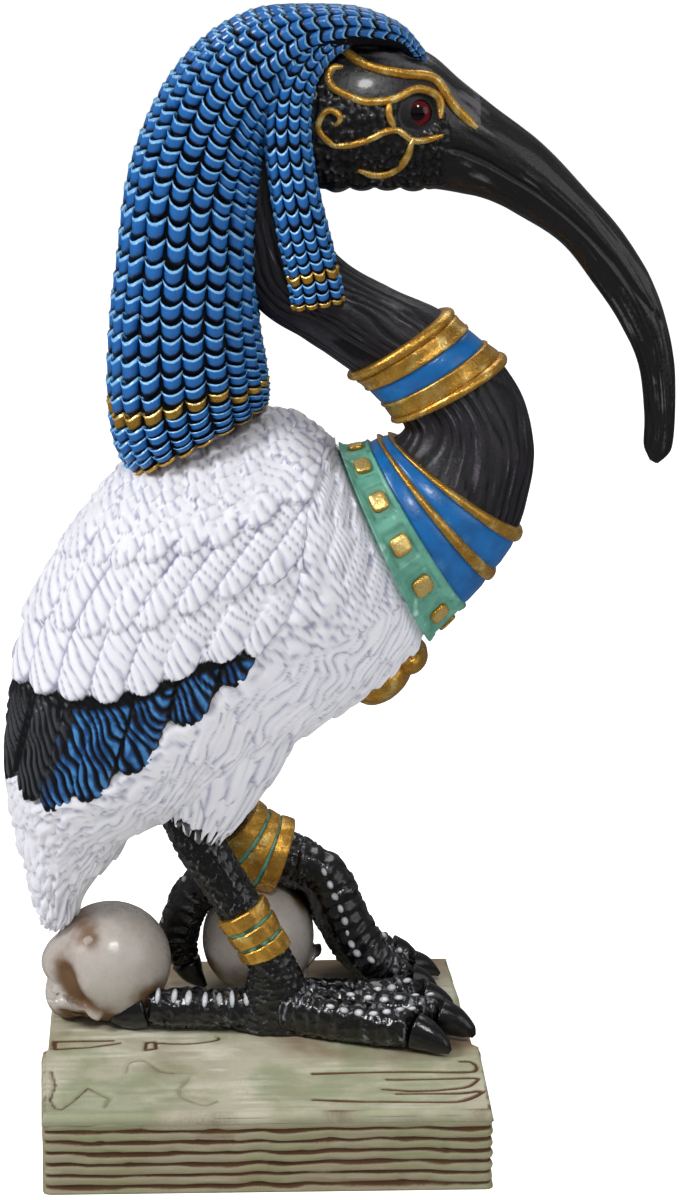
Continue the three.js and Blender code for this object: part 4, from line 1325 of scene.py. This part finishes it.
def giltRows(middles, rows, last):
    level = 158 + (middles[:, 0] + 28) * 0.183
    gilded = rows == last
    for s in sorted(set(turns)):
        mine = np.where((turns == s) & (rows > last - 9) & (rows < last))[0]
        if len(mine):
            gilded[mine[np.argmin(np.abs(middles[mine, 2] - level[mine]))]] = True
    return gilded


gilded = giltRows(middles, rows, wig["rows"] - 1)
finishPiece(copiesOf("wigBeads", bead, middles[~gilded], axes[~gilded]), "blue_enamel", "wigBlue")
finishPiece(copiesOf("wigGiltBeads", bead, middles[gilded], axes[gilded]), "gilt", "gilt")


def wigShape(u, v):
    turn = 2 * math.pi * u
    inner = smoothStep(0.5, 0.8, 1 - np.abs(u - 0.5) * 2) * (1 - smoothStep(0.3, 0.5, v))
    return formAt(wig, 0.98 * v + 0.002, turn, -1.3 + 1.6 * inner)


def plainCarve(skin, u, v):
    return 0.15 * uneven(skin, 2.0, 61), {"relief": softNoise(skin, 2.5, 62)}


finishPiece(laidSkin("wigCore", 56, 80, wigShape, plainCarve)[0], "blue_enamel", "wigShade")

lappet = {"strands": 9, "rows": 25, "beadSink": 0.45, "stations": [
    [21, -7, 236, 2.4, 3], [14, -10, 232.4, 2.8, 3.6], [9, -12, 226, 3.2, 4.2], [7.4, -12.6, 217, 3.4, 4.5],
    [8.4, -12.2, 206, 3.2, 4.7], [10.5, -11.7, 195, 3, 5], [12.4, -11.3, 187, 3, 5.2], [13.6, -11.2, 180.5, 3, 5.4],
]}
lappetPlaces = np.linspace(0.02, 0.985, lappet["rows"])
middles, axes, rows, turns = beadPlaces(limbAt, lappet, lappet["strands"], lappetPlaces, beadShare,
                                        -lappet["beadSink"], lambda t, angle, here: True)
gilded = (rows == lappet["rows"] - 1) | (rows == lappet["rows"] - 4)
nearBeads = copiesOf("lappetBeadsNear", bead, middles[~gilded], axes[~gilded])
nearGilt = copiesOf("lappetGiltNear", bead, middles[gilded], axes[gilded])
core = laidSkin("lappetCoreNear", 32, 40, lambda u, v: limbAt(lappet, v * 0.99, 2 * math.pi * u, -0.9), plainCarve)[0]
for piece, slotName, paint in ((nearBeads, "blue_enamel", "wigBlue"), (nearGilt, "gilt", "gilt"),
                               (core, "blue_enamel", "wigShade")):
    copy = mirrored(piece, piece.name.replace("Near", "Far"))
    finishPiece(piece, slotName, paint)
    finishPiece(copy, slotName, paint)
print("stage: wig")

# Legs and feet
leg = {"pebble": 1.25, "pebbleRise": 0.55, "scutePitch": 2.6, "scuteRise": 1.15}
nearLeg = {"stations": [[-17, -6, 76, 5.2, 7], [-13.6, -6.4, 64, 4.8, 5.6], [-7.6, -7, 53, 4.4, 5],
                        [-2.8, -7.3, 44.5, 4.3, 4.8], [1.6, -7.5, 36.5, 4.3, 4.7], [3.6, -7.5, 28, 5, 6.8],
                        [3.2, -7.5, 18.6, 5.2, 9.6]]}
farLeg = {"stations": [[-15, 12, 76, 5.4, 6], [-10.6, 12.4, 64.5, 5.2, 5.6], [-5.6, 12.8, 57.6, 5.6, 6],
                       [0.4, 13, 53, 5.9, 6.2], [6.6, 13, 50.6, 5.9, 6], [12, 13, 48.2, 6.4, 5.6]]}
nearToes = {
    "hind": {"up": -1, "stations": [[4, -7.5, 23, 4, 4.6], [-5, -7.5, 22.6, 3.8, 4.2], [-15, -7.5, 22.8, 3.7, 4.3],
                                    [-24.5, -7.3, 22.8, 3.4, 4.2]],
             "claw": [[-28.4, -7.2, 21.9, 3.1, 3.9], [-31.6, -7, 20.6, 2, 2.4], [-32.8, -7, 19.6, 0.7, 0.8]]},
    "outer": {"up": 1, "stations": [[6, -9, 23, 4, 5], [14, -12.5, 22.8, 3.9, 4.8], [24, -16, 22.6, 3.8, 4.4],
                                    [33.5, -19.5, 22.9, 3.6, 4.4]],
              "claw": [[37, -21.3, 22, 2.9, 3.5], [40, -23, 20.6, 1.8, 2.1], [41.6, -23.8, 19.4, 0.5, 0.6]]},
    "middle": {"up": 1, "stations": [[6, -7.5, 23.4, 4, 5.2], [16, -8.6, 23, 3.9, 5], [28, -10.8, 22.8, 3.8, 4.4],
                                     [39.5, -13.5, 23.2, 3.6, 4.4]],
               "claw": [[42.9, -14.5, 22.4, 2.9, 3.5], [46, -15.6, 20.8, 1.8, 2.1], [47.4, -16, 19.4, 0.5, 0.6]]},
    "inner": {"up": 1, "stations": [[6, -6, 23.4, 4, 5.2], [16, -4, 22.8, 3.8, 4.6], [26, -2.4, 22.6, 3.7, 4.2],
                                    [36, -1.5, 22.8, 3.4, 4]],
              "claw": [[39.4, -1.4, 21.8, 2.7, 3.2], [42.3, -1.4, 20.4, 1.7, 2], [43.6, -1.4, 19.4, 0.5, 0.6]]},
}
farToes = {
    "farNear": {"up": 1, "stations": [[7, 12, 50, 4.6, 5.2], [14.2, 10.8, 47.2, 4.6, 5.4], [18, 10, 39.4, 4.6, 5.6],
                                      [22, 9.2, 31.2, 4.6, 5.6], [28, 8.8, 24.8, 4.2, 4.4],
                                      [34.6, 8.6, 22.4, 3.5, 3.7]],
                "claw": [[37.6, 8.6, 21.6, 2.2, 2.6], [41.2, 8.6, 19, 0.5, 0.6]]},
    "farMiddle": {"up": 1, "stations": [[6, 14, 49.4, 4.6, 4.6], [13.4, 16, 44.8, 4.4, 4.8], [17.6, 17, 36.4, 4.4, 4.6],
                                        [21.6, 17.6, 28.6, 4.2, 4.4], [28, 18, 23.2, 4, 3.8],
                                        [35.4, 18.2, 21.8, 3.4, 3.5]],
                  "claw": [[38.4, 18.4, 21.2, 2.2, 2.5], [42, 18.6, 19, 0.5, 0.6]]},
    "farOuter": {"up": 1, "stations": [[5, 15, 48.6, 4.4, 4.6], [11.4, 20, 43.4, 4.2, 4.6], [15.4, 23.6, 35, 4, 4.4],
                                       [19.6, 25.6, 27.4, 4, 4.2], [25.4, 27, 23, 3.8, 3.8],
                                       [31.2, 27.6, 21.8, 3.3, 3.4]],
                 "claw": [[34.2, 28, 20.9, 2.1, 2.4], [37.6, 28.4, 19, 0.5, 0.6]]},
    "hallux": {"up": -1, "stations": [[3, 13.4, 50, 4.6, 4.8], [-8, 13.4, 47, 4.5, 4.9], [-15.6, 13.4, 40.4, 4.4, 4.6],
                                      [-18.4, 13.4, 32, 4.2, 4.3], [-17.2, 13.4, 25.5, 3.5, 3.6]],
               "claw": [[-15.4, 13.4, 22, 2.3, 2.6], [-12.6, 13.4, 18.9, 0.5, 0.6]]},
}
soleLevel = 18.25


def limbLength(form):
    path = np.array(form["stations"])[:, :3]
    return np.sum(np.linalg.norm(np.diff(path, axis=0), axis=1))


# A scaly limb: pebbles all over, and cross scutes along the side that faces up
def scalyLimb(name, form, up, seed, columns, rows, closeEnd=True):
    long = limbLength(form)

    def shape(u, v):
        # both ends round off to a dome
        t = smoothStep(0, 1, v) * 0.25 + v * 0.75
        end = np.sqrt(np.clip(1 - ((t - 0.93) / 0.07) ** 2, 0.02, 1)) if closeEnd else 1.0
        shrink = np.where(t > 0.93, end, 1.0) * (1 - 0.14 * smoothStep(0.75, 1.0, t) * (up != 0))
        here = limbAt(form, t, 2 * math.pi * u)
        centre = here[:, :-1].mean(1, keepdims=True)
        return centre + (here - centre) * shrink[..., None]

    def carve(skin, u, v):
        top = up * np.sin(2 * math.pi * u)
        bumps = pebbles(skin, leg["pebble"], seed)
        stray = uneven(skin, 4.0, seed + 40)
        phase = (v * long / leg["scutePitch"] + 0.7 * stray + 0.35 * (bumps - 0.5)) % 1.0
        ridge = dome(2 * phase - 1) * (0.55 + 0.75 * softNoise(skin, 2.6, seed + 50))
        onTop = smoothStep(-0.75, -0.35, top) if up else np.zeros_like(u)
        height = (1 - onTop) * leg["pebbleRise"] * (bumps - 0.4) + onTop * leg["scuteRise"] * (ridge - 0.4)
        # the tops of the pebbles and scute ridges are painted lighter: painted glints, with some dry-brushing
        relief = (1 - onTop) * (0.12 + 0.86 * bumps) + onTop * (0.06 + 0.66 * ridge + 0.2 * bumps)
        return height, {"relief": np.clip(relief, 0, 1)}

    return laidSkin(name, columns, rows, shape, carve)


def flatSoled(piece):
    points = pointsOf(piece)
    points[:, 2] = np.maximum(points[:, 2], soleLevel + 0.25)
    placePoints(piece, points)


def clawPiece(name, toe):
    form = {"stations": [toe["stations"][-1]] + toe["claw"]}
    return laidSkin(name, 24, 24, lambda u, v: limbAt(form, 0.1 + 0.9 * v, 2 * math.pi * u),
                    lambda skin, u, v: (0.12 * uneven(skin, 1.5, 77),
                                        {"relief": 0.4 + 0.5 * softNoise(skin, 2.0, 78)}))[0]


# Small white studs painted along the crown of each toe
def studPattern():
    return patternOf(addSphere("stud", 10, 6), lambda p: 0.55 + 0.45 * p[:, 2])


stud = studPattern()
studs = {"tilt": 0.3, "pitch": 3.2, "from": 0.3, "to": 0.9, "lift": 0.25}


def studsAlong(toe):
    count = int(limbLength(toe) * (studs["to"] - studs["from"]) / studs["pitch"])
    turn = (math.pi / 2 + studs["tilt"]) * toe["up"]
    middles, axes = [], []
    for t in np.linspace(studs["from"], studs["to"], count):
        at = lambda dt, da, lift=studs["lift"]: spotOn(limbAt, toe, t + dt, turn + da, lift)
        here = at(0, 0)
        ahead = unit(at(0.01, 0) - at(-0.01, 0))
        side = unit(at(0, 0.05) - at(0, -0.05))
        out = turnedOut(unit(np.cross(side, ahead)), here - at(0, 0, -1))
        middles.append(here)
        axes.append([side * 1.0, ahead * 0.75, out * 0.35])
    return middles, axes


# Studs where the photograph shows them, as drawn over it
seenStuds = {
    "outer": [(16, 20), (19.1, 19.1), (22.5, 18.4), (25.8, 18.1), (28.9, 18.5), (31.8, 19), (34.3, 19.2)],
    "middle": [(20.7, 22.8), (24.6, 22), (28.2, 21.5), (31.6, 21.9), (35.2, 22.4), (38.6, 22.6)],
    "inner": [(23.4, 23.7), (26.6, 24), (29.8, 24.4), (33.4, 26.1)],
    "farNear": [(14.7, 52.6), (16, 49.5), (17.1, 46.6), (18.3, 43.7), (19.3, 40.8), (20, 37.9), (20.8, 35.2), (22, 33),
                (25.2, 31.3)],
    "hind": [(-22.9, 23.1), (-19.2, 23), (-16, 22.5), (-12.3, 22), (-9.1, 21.7), (-6.2, 22.1), (-3, 22.1)],
}


def studsSeen(grid, drawn, banded):
    seats, outs = seatOn(grid, outwardOf(grid, True), drawn, lift=0.1, withFacings=True)
    ahead = unit(np.gradient(smoothRun(seats.copy()), axis=0))
    axes = []
    for n, (run, out) in enumerate(zip(ahead, outs)):
        side = unit(np.cross(out, run))
        size = 0.85 + 0.3 * (n * 7 % 5) / 4
        if banded:
            axes.append([side * 2.1, run * 0.72 * size, out * 0.22])
        else:
            axes.append([side * 0.75 * size, run * 1.1, out * 0.4])
    return list(seats), axes


for footName, legForm, toes, seed, rows in (("near", nearLeg, nearToes, 101, 124), ("far", farLeg, farToes, 131, 90)):
    parts, claws, middles, axes = [], [], [], []
    parts.append(scalyLimb("leg", legForm, 0, seed, 64, rows, closeEnd=footName == "far")[0])
    for k, (key, toe) in enumerate(toes.items()):
        part, grid = scalyLimb(key, toe, toe["up"], seed + k, 48, int(limbLength(toe) * 2.0))
        parts.append(part)
        claws.append(clawPiece(key + "Claw", toe))
        if key in seenStuds:
            studMiddles, studAxes = studsSeen(grid, seenStuds[key], key == "hind")
        else:
            studMiddles, studAxes = studsAlong(toe)
        middles += studMiddles
        axes += studAxes
    foot = joined(footName + "LegAndFoot", parts)
    flatSoled(foot)
    finishPiece(foot, "black_skin", "legSkin")
    horn = joined(footName + "Claws", claws)
    flatSoled(horn)
    finishPiece(horn, "black_skin", "clawHorn")
    finishPiece(copiesOf(footName + "Studs", stud, middles, axes), "black_skin", "whiteStud")
print("stage: legs and feet")

# Anklets
anklet = {"facets": 9, "columns": 108}


def ankletPieces(name, form, start, end, rise):
    band = (end - start) / 3
    gold, lines = [], []

    def faceted(t, grow, angle):
        ridge = np.abs(((angle / (2 * math.pi) * anklet["facets"] + (t - start) * 3) % 1.0) - 0.5) * 2
        return t, np.where(grow > 0.2, grow + 0.35 * (ridge - 0.5), grow)

    for k in range(3):
        low, high = start + k * band, start + (k + 1) * band
        edge = 0.1 * band
        gold.append(ringOn("band", limbAt, form, [
            (low + edge, -0.8), (low + edge, rise - 0.25), (low + 1.6 * edge, rise), (0.5 * (low + high), rise + 0.1),
            (high - 1.6 * edge, rise), (high - edge, rise - 0.25), (high - edge, -0.8),
        ], anklet["columns"], faceted, fineness=2))
        if k:
            lines.append(ringOn("line", limbAt, form, [
                (low - 0.16 * band, -0.8), (low - 0.14 * band, rise - 0.6), (low, rise - 0.4),
                (low + 0.14 * band, rise - 0.6), (low + 0.16 * band, -0.8),
            ], anklet["columns"]))
    wornPiece(name + "Gilt", gold, (1.8, 141, 0.4, 1.0), "gilt", "gilt", flat=True)
    wornPiece(name + "Lines", lines, (1.2, 142, 0.1, 0.8), "turquoise_enamel", "turquoise")


ankletPieces("ankletNear", nearLeg, 0.45, 0.68, 1.15)
ankletPieces("ankletFar", farLeg, 0.36, 0.78, 2.8)
print("stage: anklets")

# Skulls
skull = {
    "radius": 13.6, "sunk": 0.93, "firstVoxel": 0.42, "voxel": 0.6, "sole": 18.5, "rounds": 3,
    # middle and radii of each ball, in shares of the radius; those off the middle plane come in pairs
    "forms": [((0, 0, 0), (1, 0.94, 1)), ((-0.52, 0, 0.02), (0.62, 0.68, 0.52)),
              ((-0.68, 0, -0.52), (0.42, 0.5, 0.46))],
    "cheek": ((-0.68, 0.62, -0.58), (0.4, 0.14, 0.13), 27),
    "socket": ((-1.12, 0.33, -0.28), (0.22, 0.21, 0.2)),
    "nose": ((-1.14, 0, -0.55), (0.12, 0.08, 0.14)),
    # lines over the flank: how wide each one is, and how far it rises
    "lines": {
        "temple": {"wide": 0.17, "rise": -1.8, "points": [(-0.74, 0.06), (-0.64, -0.2), (-0.44, -0.5)]},
        "arch": {"wide": 0.05, "rise": 1.9, "points": [(-0.86, -0.28), (-0.72, -0.44), (-0.5, -0.55), (-0.15, -0.62)]},
        "cavity": {"wide": 0.09, "rise": -1.6, "points": [(-0.75, -0.62), (-0.45, -0.72)]},
        "edge": {"wide": 0.26, "rise": 0, "points": [(-0.7, 0.1), (-0.62, -0.2), (-0.4, -0.52)]},
    },
    # stains: x, z, size and strength
    "stains": [(-0.4, 0.8, 0.3, 0.5), (-0.24, 0.66, 0.16, 0.55), (0.66, -0.36, 0.3, 0.9), (-0.1, -0.8, 0.35, 0.8)],
}


def ball(middle, radii, tilt=0.0, side=1):
    piece = addSphere("ball", 48, 28, mm)
    points = tipped(pointsOf(piece) * np.array(radii), math.radians(tilt))
    placePoints(piece, (points + np.array(middle) * np.array([1, side, 1])) * skull["radius"])
    return piece


def cutAway(piece, tool):
    pickOnly(piece)
    cut = piece.modifiers.new("cut", "BOOLEAN")
    cut.operation = "DIFFERENCE"
    cut.object = tool
    cut.solver = "EXACT"
    bpy.ops.object.modifier_apply(modifier="cut")
    bpy.data.objects.remove(tool)


def fusedBy(piece, voxel, rounds=0):
    fuse = piece.modifiers.new("fuse", "REMESH")
    fuse.mode = "VOXEL"
    fuse.voxel_size = voxel * mm
    if rounds:
        piece.modifiers.new("soften", "SMOOTH").iterations = rounds
    pickOnly(piece)
    for step in [modifier.name for modifier in piece.modifiers]:
        bpy.ops.object.modifier_apply(modifier=step)


def skullPiece(name, node, x, offset, turnDegrees):
    parts = [ball(*form) for form in skull["forms"]]
    parts += [ball(*skull["cheek"], side=side) for side in (-1, 1)]
    piece = joined(name, parts)
    fusedBy(piece, skull["firstVoxel"])
    for side in (-1, 1):
        cutAway(piece, ball(*skull["socket"], side=side))
    cutAway(piece, ball(*skull["nose"]))
    fusedBy(piece, skull["voxel"], skull["rounds"])
    points = pointsOf(piece)
    share = points / skull["radius"]
    faceward = smoothStep(0.25, 0.75, -share[:, 0])
    pits, dents = uneven(points, 1.3, 151), uneven(points, 4.5, 152)
    profile, flank = share[:, [0, 2]], smoothStep(0.2, 0.45, np.abs(share[:, 1]))
    near = {key: flank * hump(distanceToLine(profile, line["points"])[0], line["wide"])
            for key, line in skull["lines"].items()}
    cut = sum(line["rise"] * near[key] for key, line in skull["lines"].items())
    points = points + normalsOf(piece) * (cut + 0.1 * pits + 0.25 * dents * (0.3 + faceward))[:, None]
    low = smoothStep(0.55, 0.95, -share[:, 2])
    dark = 0.75 * low + 0.5 * near["edge"] + 0.4 * near["temple"] + near["cavity"]
    for x0, z0, size, strength in skull["stains"]:
        dark = dark + strength * np.exp(-(((share[:, 0] - x0) ** 2 + (share[:, 2] - z0) ** 2) / size ** 2))
    dark = dark + 0.15 * faceward - 0.8 * near["arch"]
    keepMark(piece, "relief", np.clip(0.86 - 0.95 * dark + 0.2 * dents + 0.2 * pits, 0, 1))
    turn = math.radians(turnDegrees)
    level = skull["sole"] + skull["sunk"] * skull["radius"]
    points = stacked(points[:, 0] * math.cos(turn) - points[:, 1] * math.sin(turn) + x,
                     points[:, 0] * math.sin(turn) + points[:, 1] * math.cos(turn) + birdMiddle + offset,
                     points[:, 2] + level)
    points[:, 2] = np.maximum(points[:, 2], skull["sole"])
    placePoints(piece, points)
    finishPiece(piece, "bone", "boneCream", node)


skullPiece("skullUnderTail", "tail_skull", -33.4, 0.5, 0)
skullPiece("skullInClaw", "claw_skull", -0.2, 14, 240)
print("stage: skulls")

# The plinth of papyrus sheets
plinth = {"width": 94.4, "depth": 80.0, "height": 18.2, "skew": 4.2, "corner": 1.6, "step": 1.3, "stepAt": 31.0,
          "firstGroove": 1.35, "pitch": 2.5, "grooves": 7, "grooveDepth": 0.85, "capSunk": 1.3, "inset": 0.25,
          "rim": 1.6, "roll": 0.8}


def plinthOutline(count):
    half, deep = plinth["width"] / 2, plinth["depth"] / 2
    stepY = plinth["stepAt"] - deep
    corner = plinth["corner"]
    right = [(half - corner, -deep), (half - 0.25 * corner, -deep + 0.25 * corner), (half, -deep + corner),
             (half + plinth["step"], stepY), (half, stepY + plinth["step"]), (half, deep - corner),
             (half - 0.25 * corner, deep - 0.25 * corner), (half - corner, deep)]
    left = [(-x, y) for x, y in reversed(right)]
    points = evenly(np.array(right + left + right[:1]), count)[0]
    points[:, 0] -= plinth["skew"] * points[:, 1] / plinth["depth"]
    return points


def sheetShape(u, v):
    loop = plinthOutline(u.shape[1])
    return stacked(loop[:, 0], loop[:, 1], v * (plinth["height"] - plinth["capSunk"]))


def sheetCarve(skin, u, v):
    z = skin[..., 2]
    wave = uneven(stacked(skin[..., 0], skin[..., 1], z * 0.6), 24.0, 161) * 1.1
    wave = wave + uneven(stacked(skin[..., 0], skin[..., 1], z * 0.5), 5.0, 164) * 0.55
    wave = wave * plateau(0.2, 2.0, 16.4, 17.4, z)
    level = (z + wave - plinth["firstGroove"]) / plinth["pitch"]
    nearest = np.abs(level - np.clip(np.round(level), 0, plinth["grooves"] - 1)) * plinth["pitch"]
    wide = 0.3 + 0.34 * softNoise(stacked(skin[..., 0] / 3, skin[..., 1] / 3, z * 3), 3.0, 165)
    groove = hump(nearest, wide)
    fibre = uneven(stacked(skin[..., 0] / 9, skin[..., 1] / 9, z + wave), 0.7, 162)
    chips = smoothStep(0.62, 0.8, softNoise(skin, 3.0, 163))
    height = -plinth["grooveDepth"] * groove + 0.3 * fibre - 0.3 * chips - 0.25
    height = height * smoothStep(0, 0.012, v)
    relief = np.clip(0.78 - 0.85 * groove + 0.75 * fibre - 0.15 * chips, 0, 1)
    return height, {"relief": relief, "top": 0 * u, "stain": 0.2 * (1 - smoothStep(2, 12, z)) + 0.15}


incised = [
    [(11.7, -21.1), (29.7, -20.7), (44.7, -21.4), (47, -19.6), (46.2, -16.6), (43.7, -16.2)],
    [(27.4, -24.2), (35.2, -24.5), (45.9, -24.3), (46.6, -25.5), (43.4, -28.7), (34.2, -30), (26.4, -28.8)],
    [(11.5, -33.4), (26.2, -34.7), (35.9, -35.2), (42.3, -34.8), (46.7, -31.7), (46.9, -30.2), (41.8, -31.3),
     (29.2, -31.2)],
    [(-44.6, -18.8), (-43.1, -25.9), (-43.7, -32.1), (-42.3, -35.9), (-40.9, -36.4), (-38.8, -33), (-36.1, -26.9),
     (-31.2, -32), (-31.9, -35.9)],
    [(-32.3, -3.8), (-45.2, -3.9), (-44.8, -7.7), (-37.2, -7.2), (-30.7, -5.2)],
    [(-25, -8.5), (-24.9, -5), (-23, -4.9), (-22.6, -8.2), (-25, -8.8)],
    [(-22.6, -5.4), (-15.3, -5.9), (-9.4, -4.2), (-9.1, -2.9)],
    [(-28.4, -20), (-27.9, -15.2), (-24.7, -14.4), (-21.3, -19.1), (-18.4, -20.3)],
    [(-14.7, -22.7), (-16.5, -30.5), (-11.5, -35.2), (-8.7, -33.8)],
]
# How deep each line is, and which ones stay straight between their points. Gaps along y count for less than
# gaps along x, so a line comes out wider where it runs along x.
stroke = {"depths": (1.0, 0.9, 0.95, 0.6, 0.85, 0.85, 0.8, 0.45, 0.45), "straight": (3, 4, 5), "gaps": (1.0, 0.72),
          "width": 0.44, "depth": 0.7}


sheetTones = {"olive": (112, 104, 66), "green": (118, 138, 86), "brown": (134, 106, 78), "oliveShare": 0.68}


# Worn sheets: olive along the sides, with green patches and brown stains where the washes and painted shade leave them
# clean
def plinthMaterial():
    material, tree, shader = emptyMaterial("papyrus")
    place, colour, wash, height = wornLayerWithShading(tree, looks["papyrus"])
    top, clean = markOf(tree, "top"), rest(tree, wash)
    patches = addRamp(tree, addNoise(tree, place, 42.0, 4.0, Roughness=0.6), 0.44, 0.62)
    stains = addRamp(tree, addNoise(tree, place, 26.0, 3.0, Distortion=0.6), 0.4, 0.66)
    shares = {"olive": times(tree, rest(tree, top), times(tree, clean, sheetTones["oliveShare"])),
              "green": times(tree, times(tree, patches, addMath(tree, "MULTIPLY_ADD", top, 0.08, 0.42)), clean),
              "brown": times(tree, times(tree, stains, markOf(tree, "stain")), clean)}
    for tone, share in shares.items():
        colour = addMix(tree, share, colour, colourOf(*sheetTones[tone]))
    finishPaint(tree, shader, looks["papyrus"], place, colour, wash, height)
    return material


paints["papyrus"] = plinthMaterial()
sheets = laidSkin("papyrusSheets", 420, 50, sheetShape, sheetCarve)[0]
finishPiece(sheets, "papyrus_sheets", "papyrus", "papyrus_plinth")


def topShape(u, v):
    half, deep = plinth["width"] / 2, plinth["depth"] / 2
    stepY = plinth["stepAt"] - deep
    y = (2 * v - 1) * (deep - plinth["inset"])
    # the top sheet widens up to the step, as the sheets below it do
    wide = half + np.interp(y, [-deep, stepY, stepY + plinth["step"], deep], [0, plinth["step"], 0, 0])
    x = (2 * u - 1) * (wide - plinth["inset"]) - plinth["skew"] * y / plinth["depth"]
    return stacked(x, y, np.full_like(x, plinth["height"] - 0.15))


def topCarve(skin, u, v):
    fibre = uneven(stacked(skin[..., 0] / 7, skin[..., 1], 0), 1.2, 171)
    lump = uneven(stacked(skin[..., 0], skin[..., 1], 0), 9.0, 172)
    cuts = np.zeros_like(u)
    for n, line in enumerate(incised):
        bent = line if n in stroke["straight"] else curvedLine(line, 40)[0]
        gap = distanceToLine(skin[..., :2] * stroke["gaps"], np.array(bent) * stroke["gaps"])[0]
        cuts = np.maximum(cuts, hump(gap, stroke["width"]) * stroke["depths"][n])
    edge = np.minimum(np.minimum(u, 1 - u) * plinth["width"], np.minimum(v, 1 - v) * plinth["depth"])
    roll = plinth["roll"] * (1 - smoothStep(0, 1.0, edge)) ** 2
    wall = np.where(edge < 1e-4, plinth["rim"], 0)
    height = 0.12 * fibre + 0.25 * lump - stroke["depth"] * cuts - roll - wall
    relief = np.clip((0.85 + 0.4 * fibre + 0.3 * lump) * (1 - 1.15 * cuts) - 0.3 * (edge < 1.0), -0.3, 1)
    # handled brown around the feet and the skulls
    footing = smoothStep(-22, -12, skin[..., 1] - 0.12 * skin[..., 0])
    return height, {"relief": relief, "top": np.ones_like(u), "stain": 0.12 + 0.8 * footing}


topSheet = laidSkin("papyrusTop", 200, 166, topShape, topCarve, around=(0, 0, 1))[0]
finishPiece(topSheet, "papyrus_sheets", "papyrus", "papyrus_plinth")
print("stage: plinth")

# Floor, light and camera
studio = {"floor": 60.0, "floorGlow": 0.14, "floorSeen": 0.7, "sky": 0.2, "pale": ((246,) * 3, (250,) * 3),
          "mirrored": (96, 96, 98)}
lamps = {
    "keyLight": {"power": 6.6, "size": 0.32, "place": (-0.68, -0.32, 0.76), "aim": (0, 0, 0.12)},
    "fillLight": {"power": 1.0, "size": 0.6, "place": (0.75, -0.5, 0.4), "aim": (0, 0, 0.12)},
    "backLight": {"power": 2.6, "size": 0.6, "place": (0.2, 0.4, 0.95), "aim": (0, 0, 0.14)},
    "glintLight": {"power": 1.8, "size": 0.14, "place": (0.12, -0.62, 0.72), "aim": (0, 0, 0.12)},
}


def floorMaterial():
    material, tree, shader = emptyMaterial("studioFloor")
    rays = addNode(tree, "ShaderNodeLightPath").outputs
    pale = addMix(tree, addNoise(tree, objectPlace(tree), 6.0, 2.0), *(colourOf(*tone) for tone in studio["pale"]))
    glow = times(tree, rest(tree, rays["Is Glossy Ray"]), studio["floorGlow"])
    # mirrored in the gloss of the figure, the floor is a darker one
    feed(tree, shader, {
        "Base Color": addMix(tree, rays["Is Glossy Ray"], pale, colourOf(*studio["mirrored"])), "Roughness": 0.9,
        "Emission Color": (1.0,) * 4,
        "Emission Strength": addMath(tree, "MULTIPLY_ADD", rays["Is Camera Ray"], studio["floorSeen"], glow),
    })
    return material


pickOnly()
bpy.ops.mesh.primitive_plane_add(size=studio["floor"], location=(0, 0, 0))
floor = named("studioFloor")
floor.data.materials.append(floorMaterial())
floor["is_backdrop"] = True

world = bpy.data.worlds.new("studio")
bpy.context.scene.world = world
world.use_nodes = True
seen = addNode(world.node_tree, "ShaderNodeLightPath").outputs["Is Camera Ray"]
glow = addMath(world.node_tree, "MULTIPLY_ADD", seen, 1 - studio["sky"], studio["sky"])
feed(world.node_tree, world.node_tree.nodes["Background"], {"Color": (1.0,) * 4, "Strength": glow})

for name, lamp in lamps.items():
    light = bpy.data.lights.new(name, "AREA")
    light.energy = lamp["power"]
    light.shape = "DISK"
    light.size = lamp["size"]
    stand = addObject(name, light)
    stand.location = lamp["place"]
    stand.rotation_euler = (Vector(lamp["aim"]) - Vector(lamp["place"])).to_track_quat("-Z", "Y").to_euler()

cameraData = bpy.data.cameras.new("camera")
cameraData.lens = view["lens"]
cameraData.sensor_width = view["sensor"]
cameraData.clip_start = view["nearest"]
camera = addObject("camera", cameraData)
camera.location = Vector(view["place"]) * mm
camera.rotation_euler = (math.radians(90 - view["dip"]), 0, math.radians(view["turn"]))
bpy.context.scene.camera = camera
bpy.context.scene.view_settings.view_transform = "Standard"
print("stage: studio")

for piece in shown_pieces():
    print(piece.name, sum(len(f.vertices) - 2 for f in piece.data.polygons))
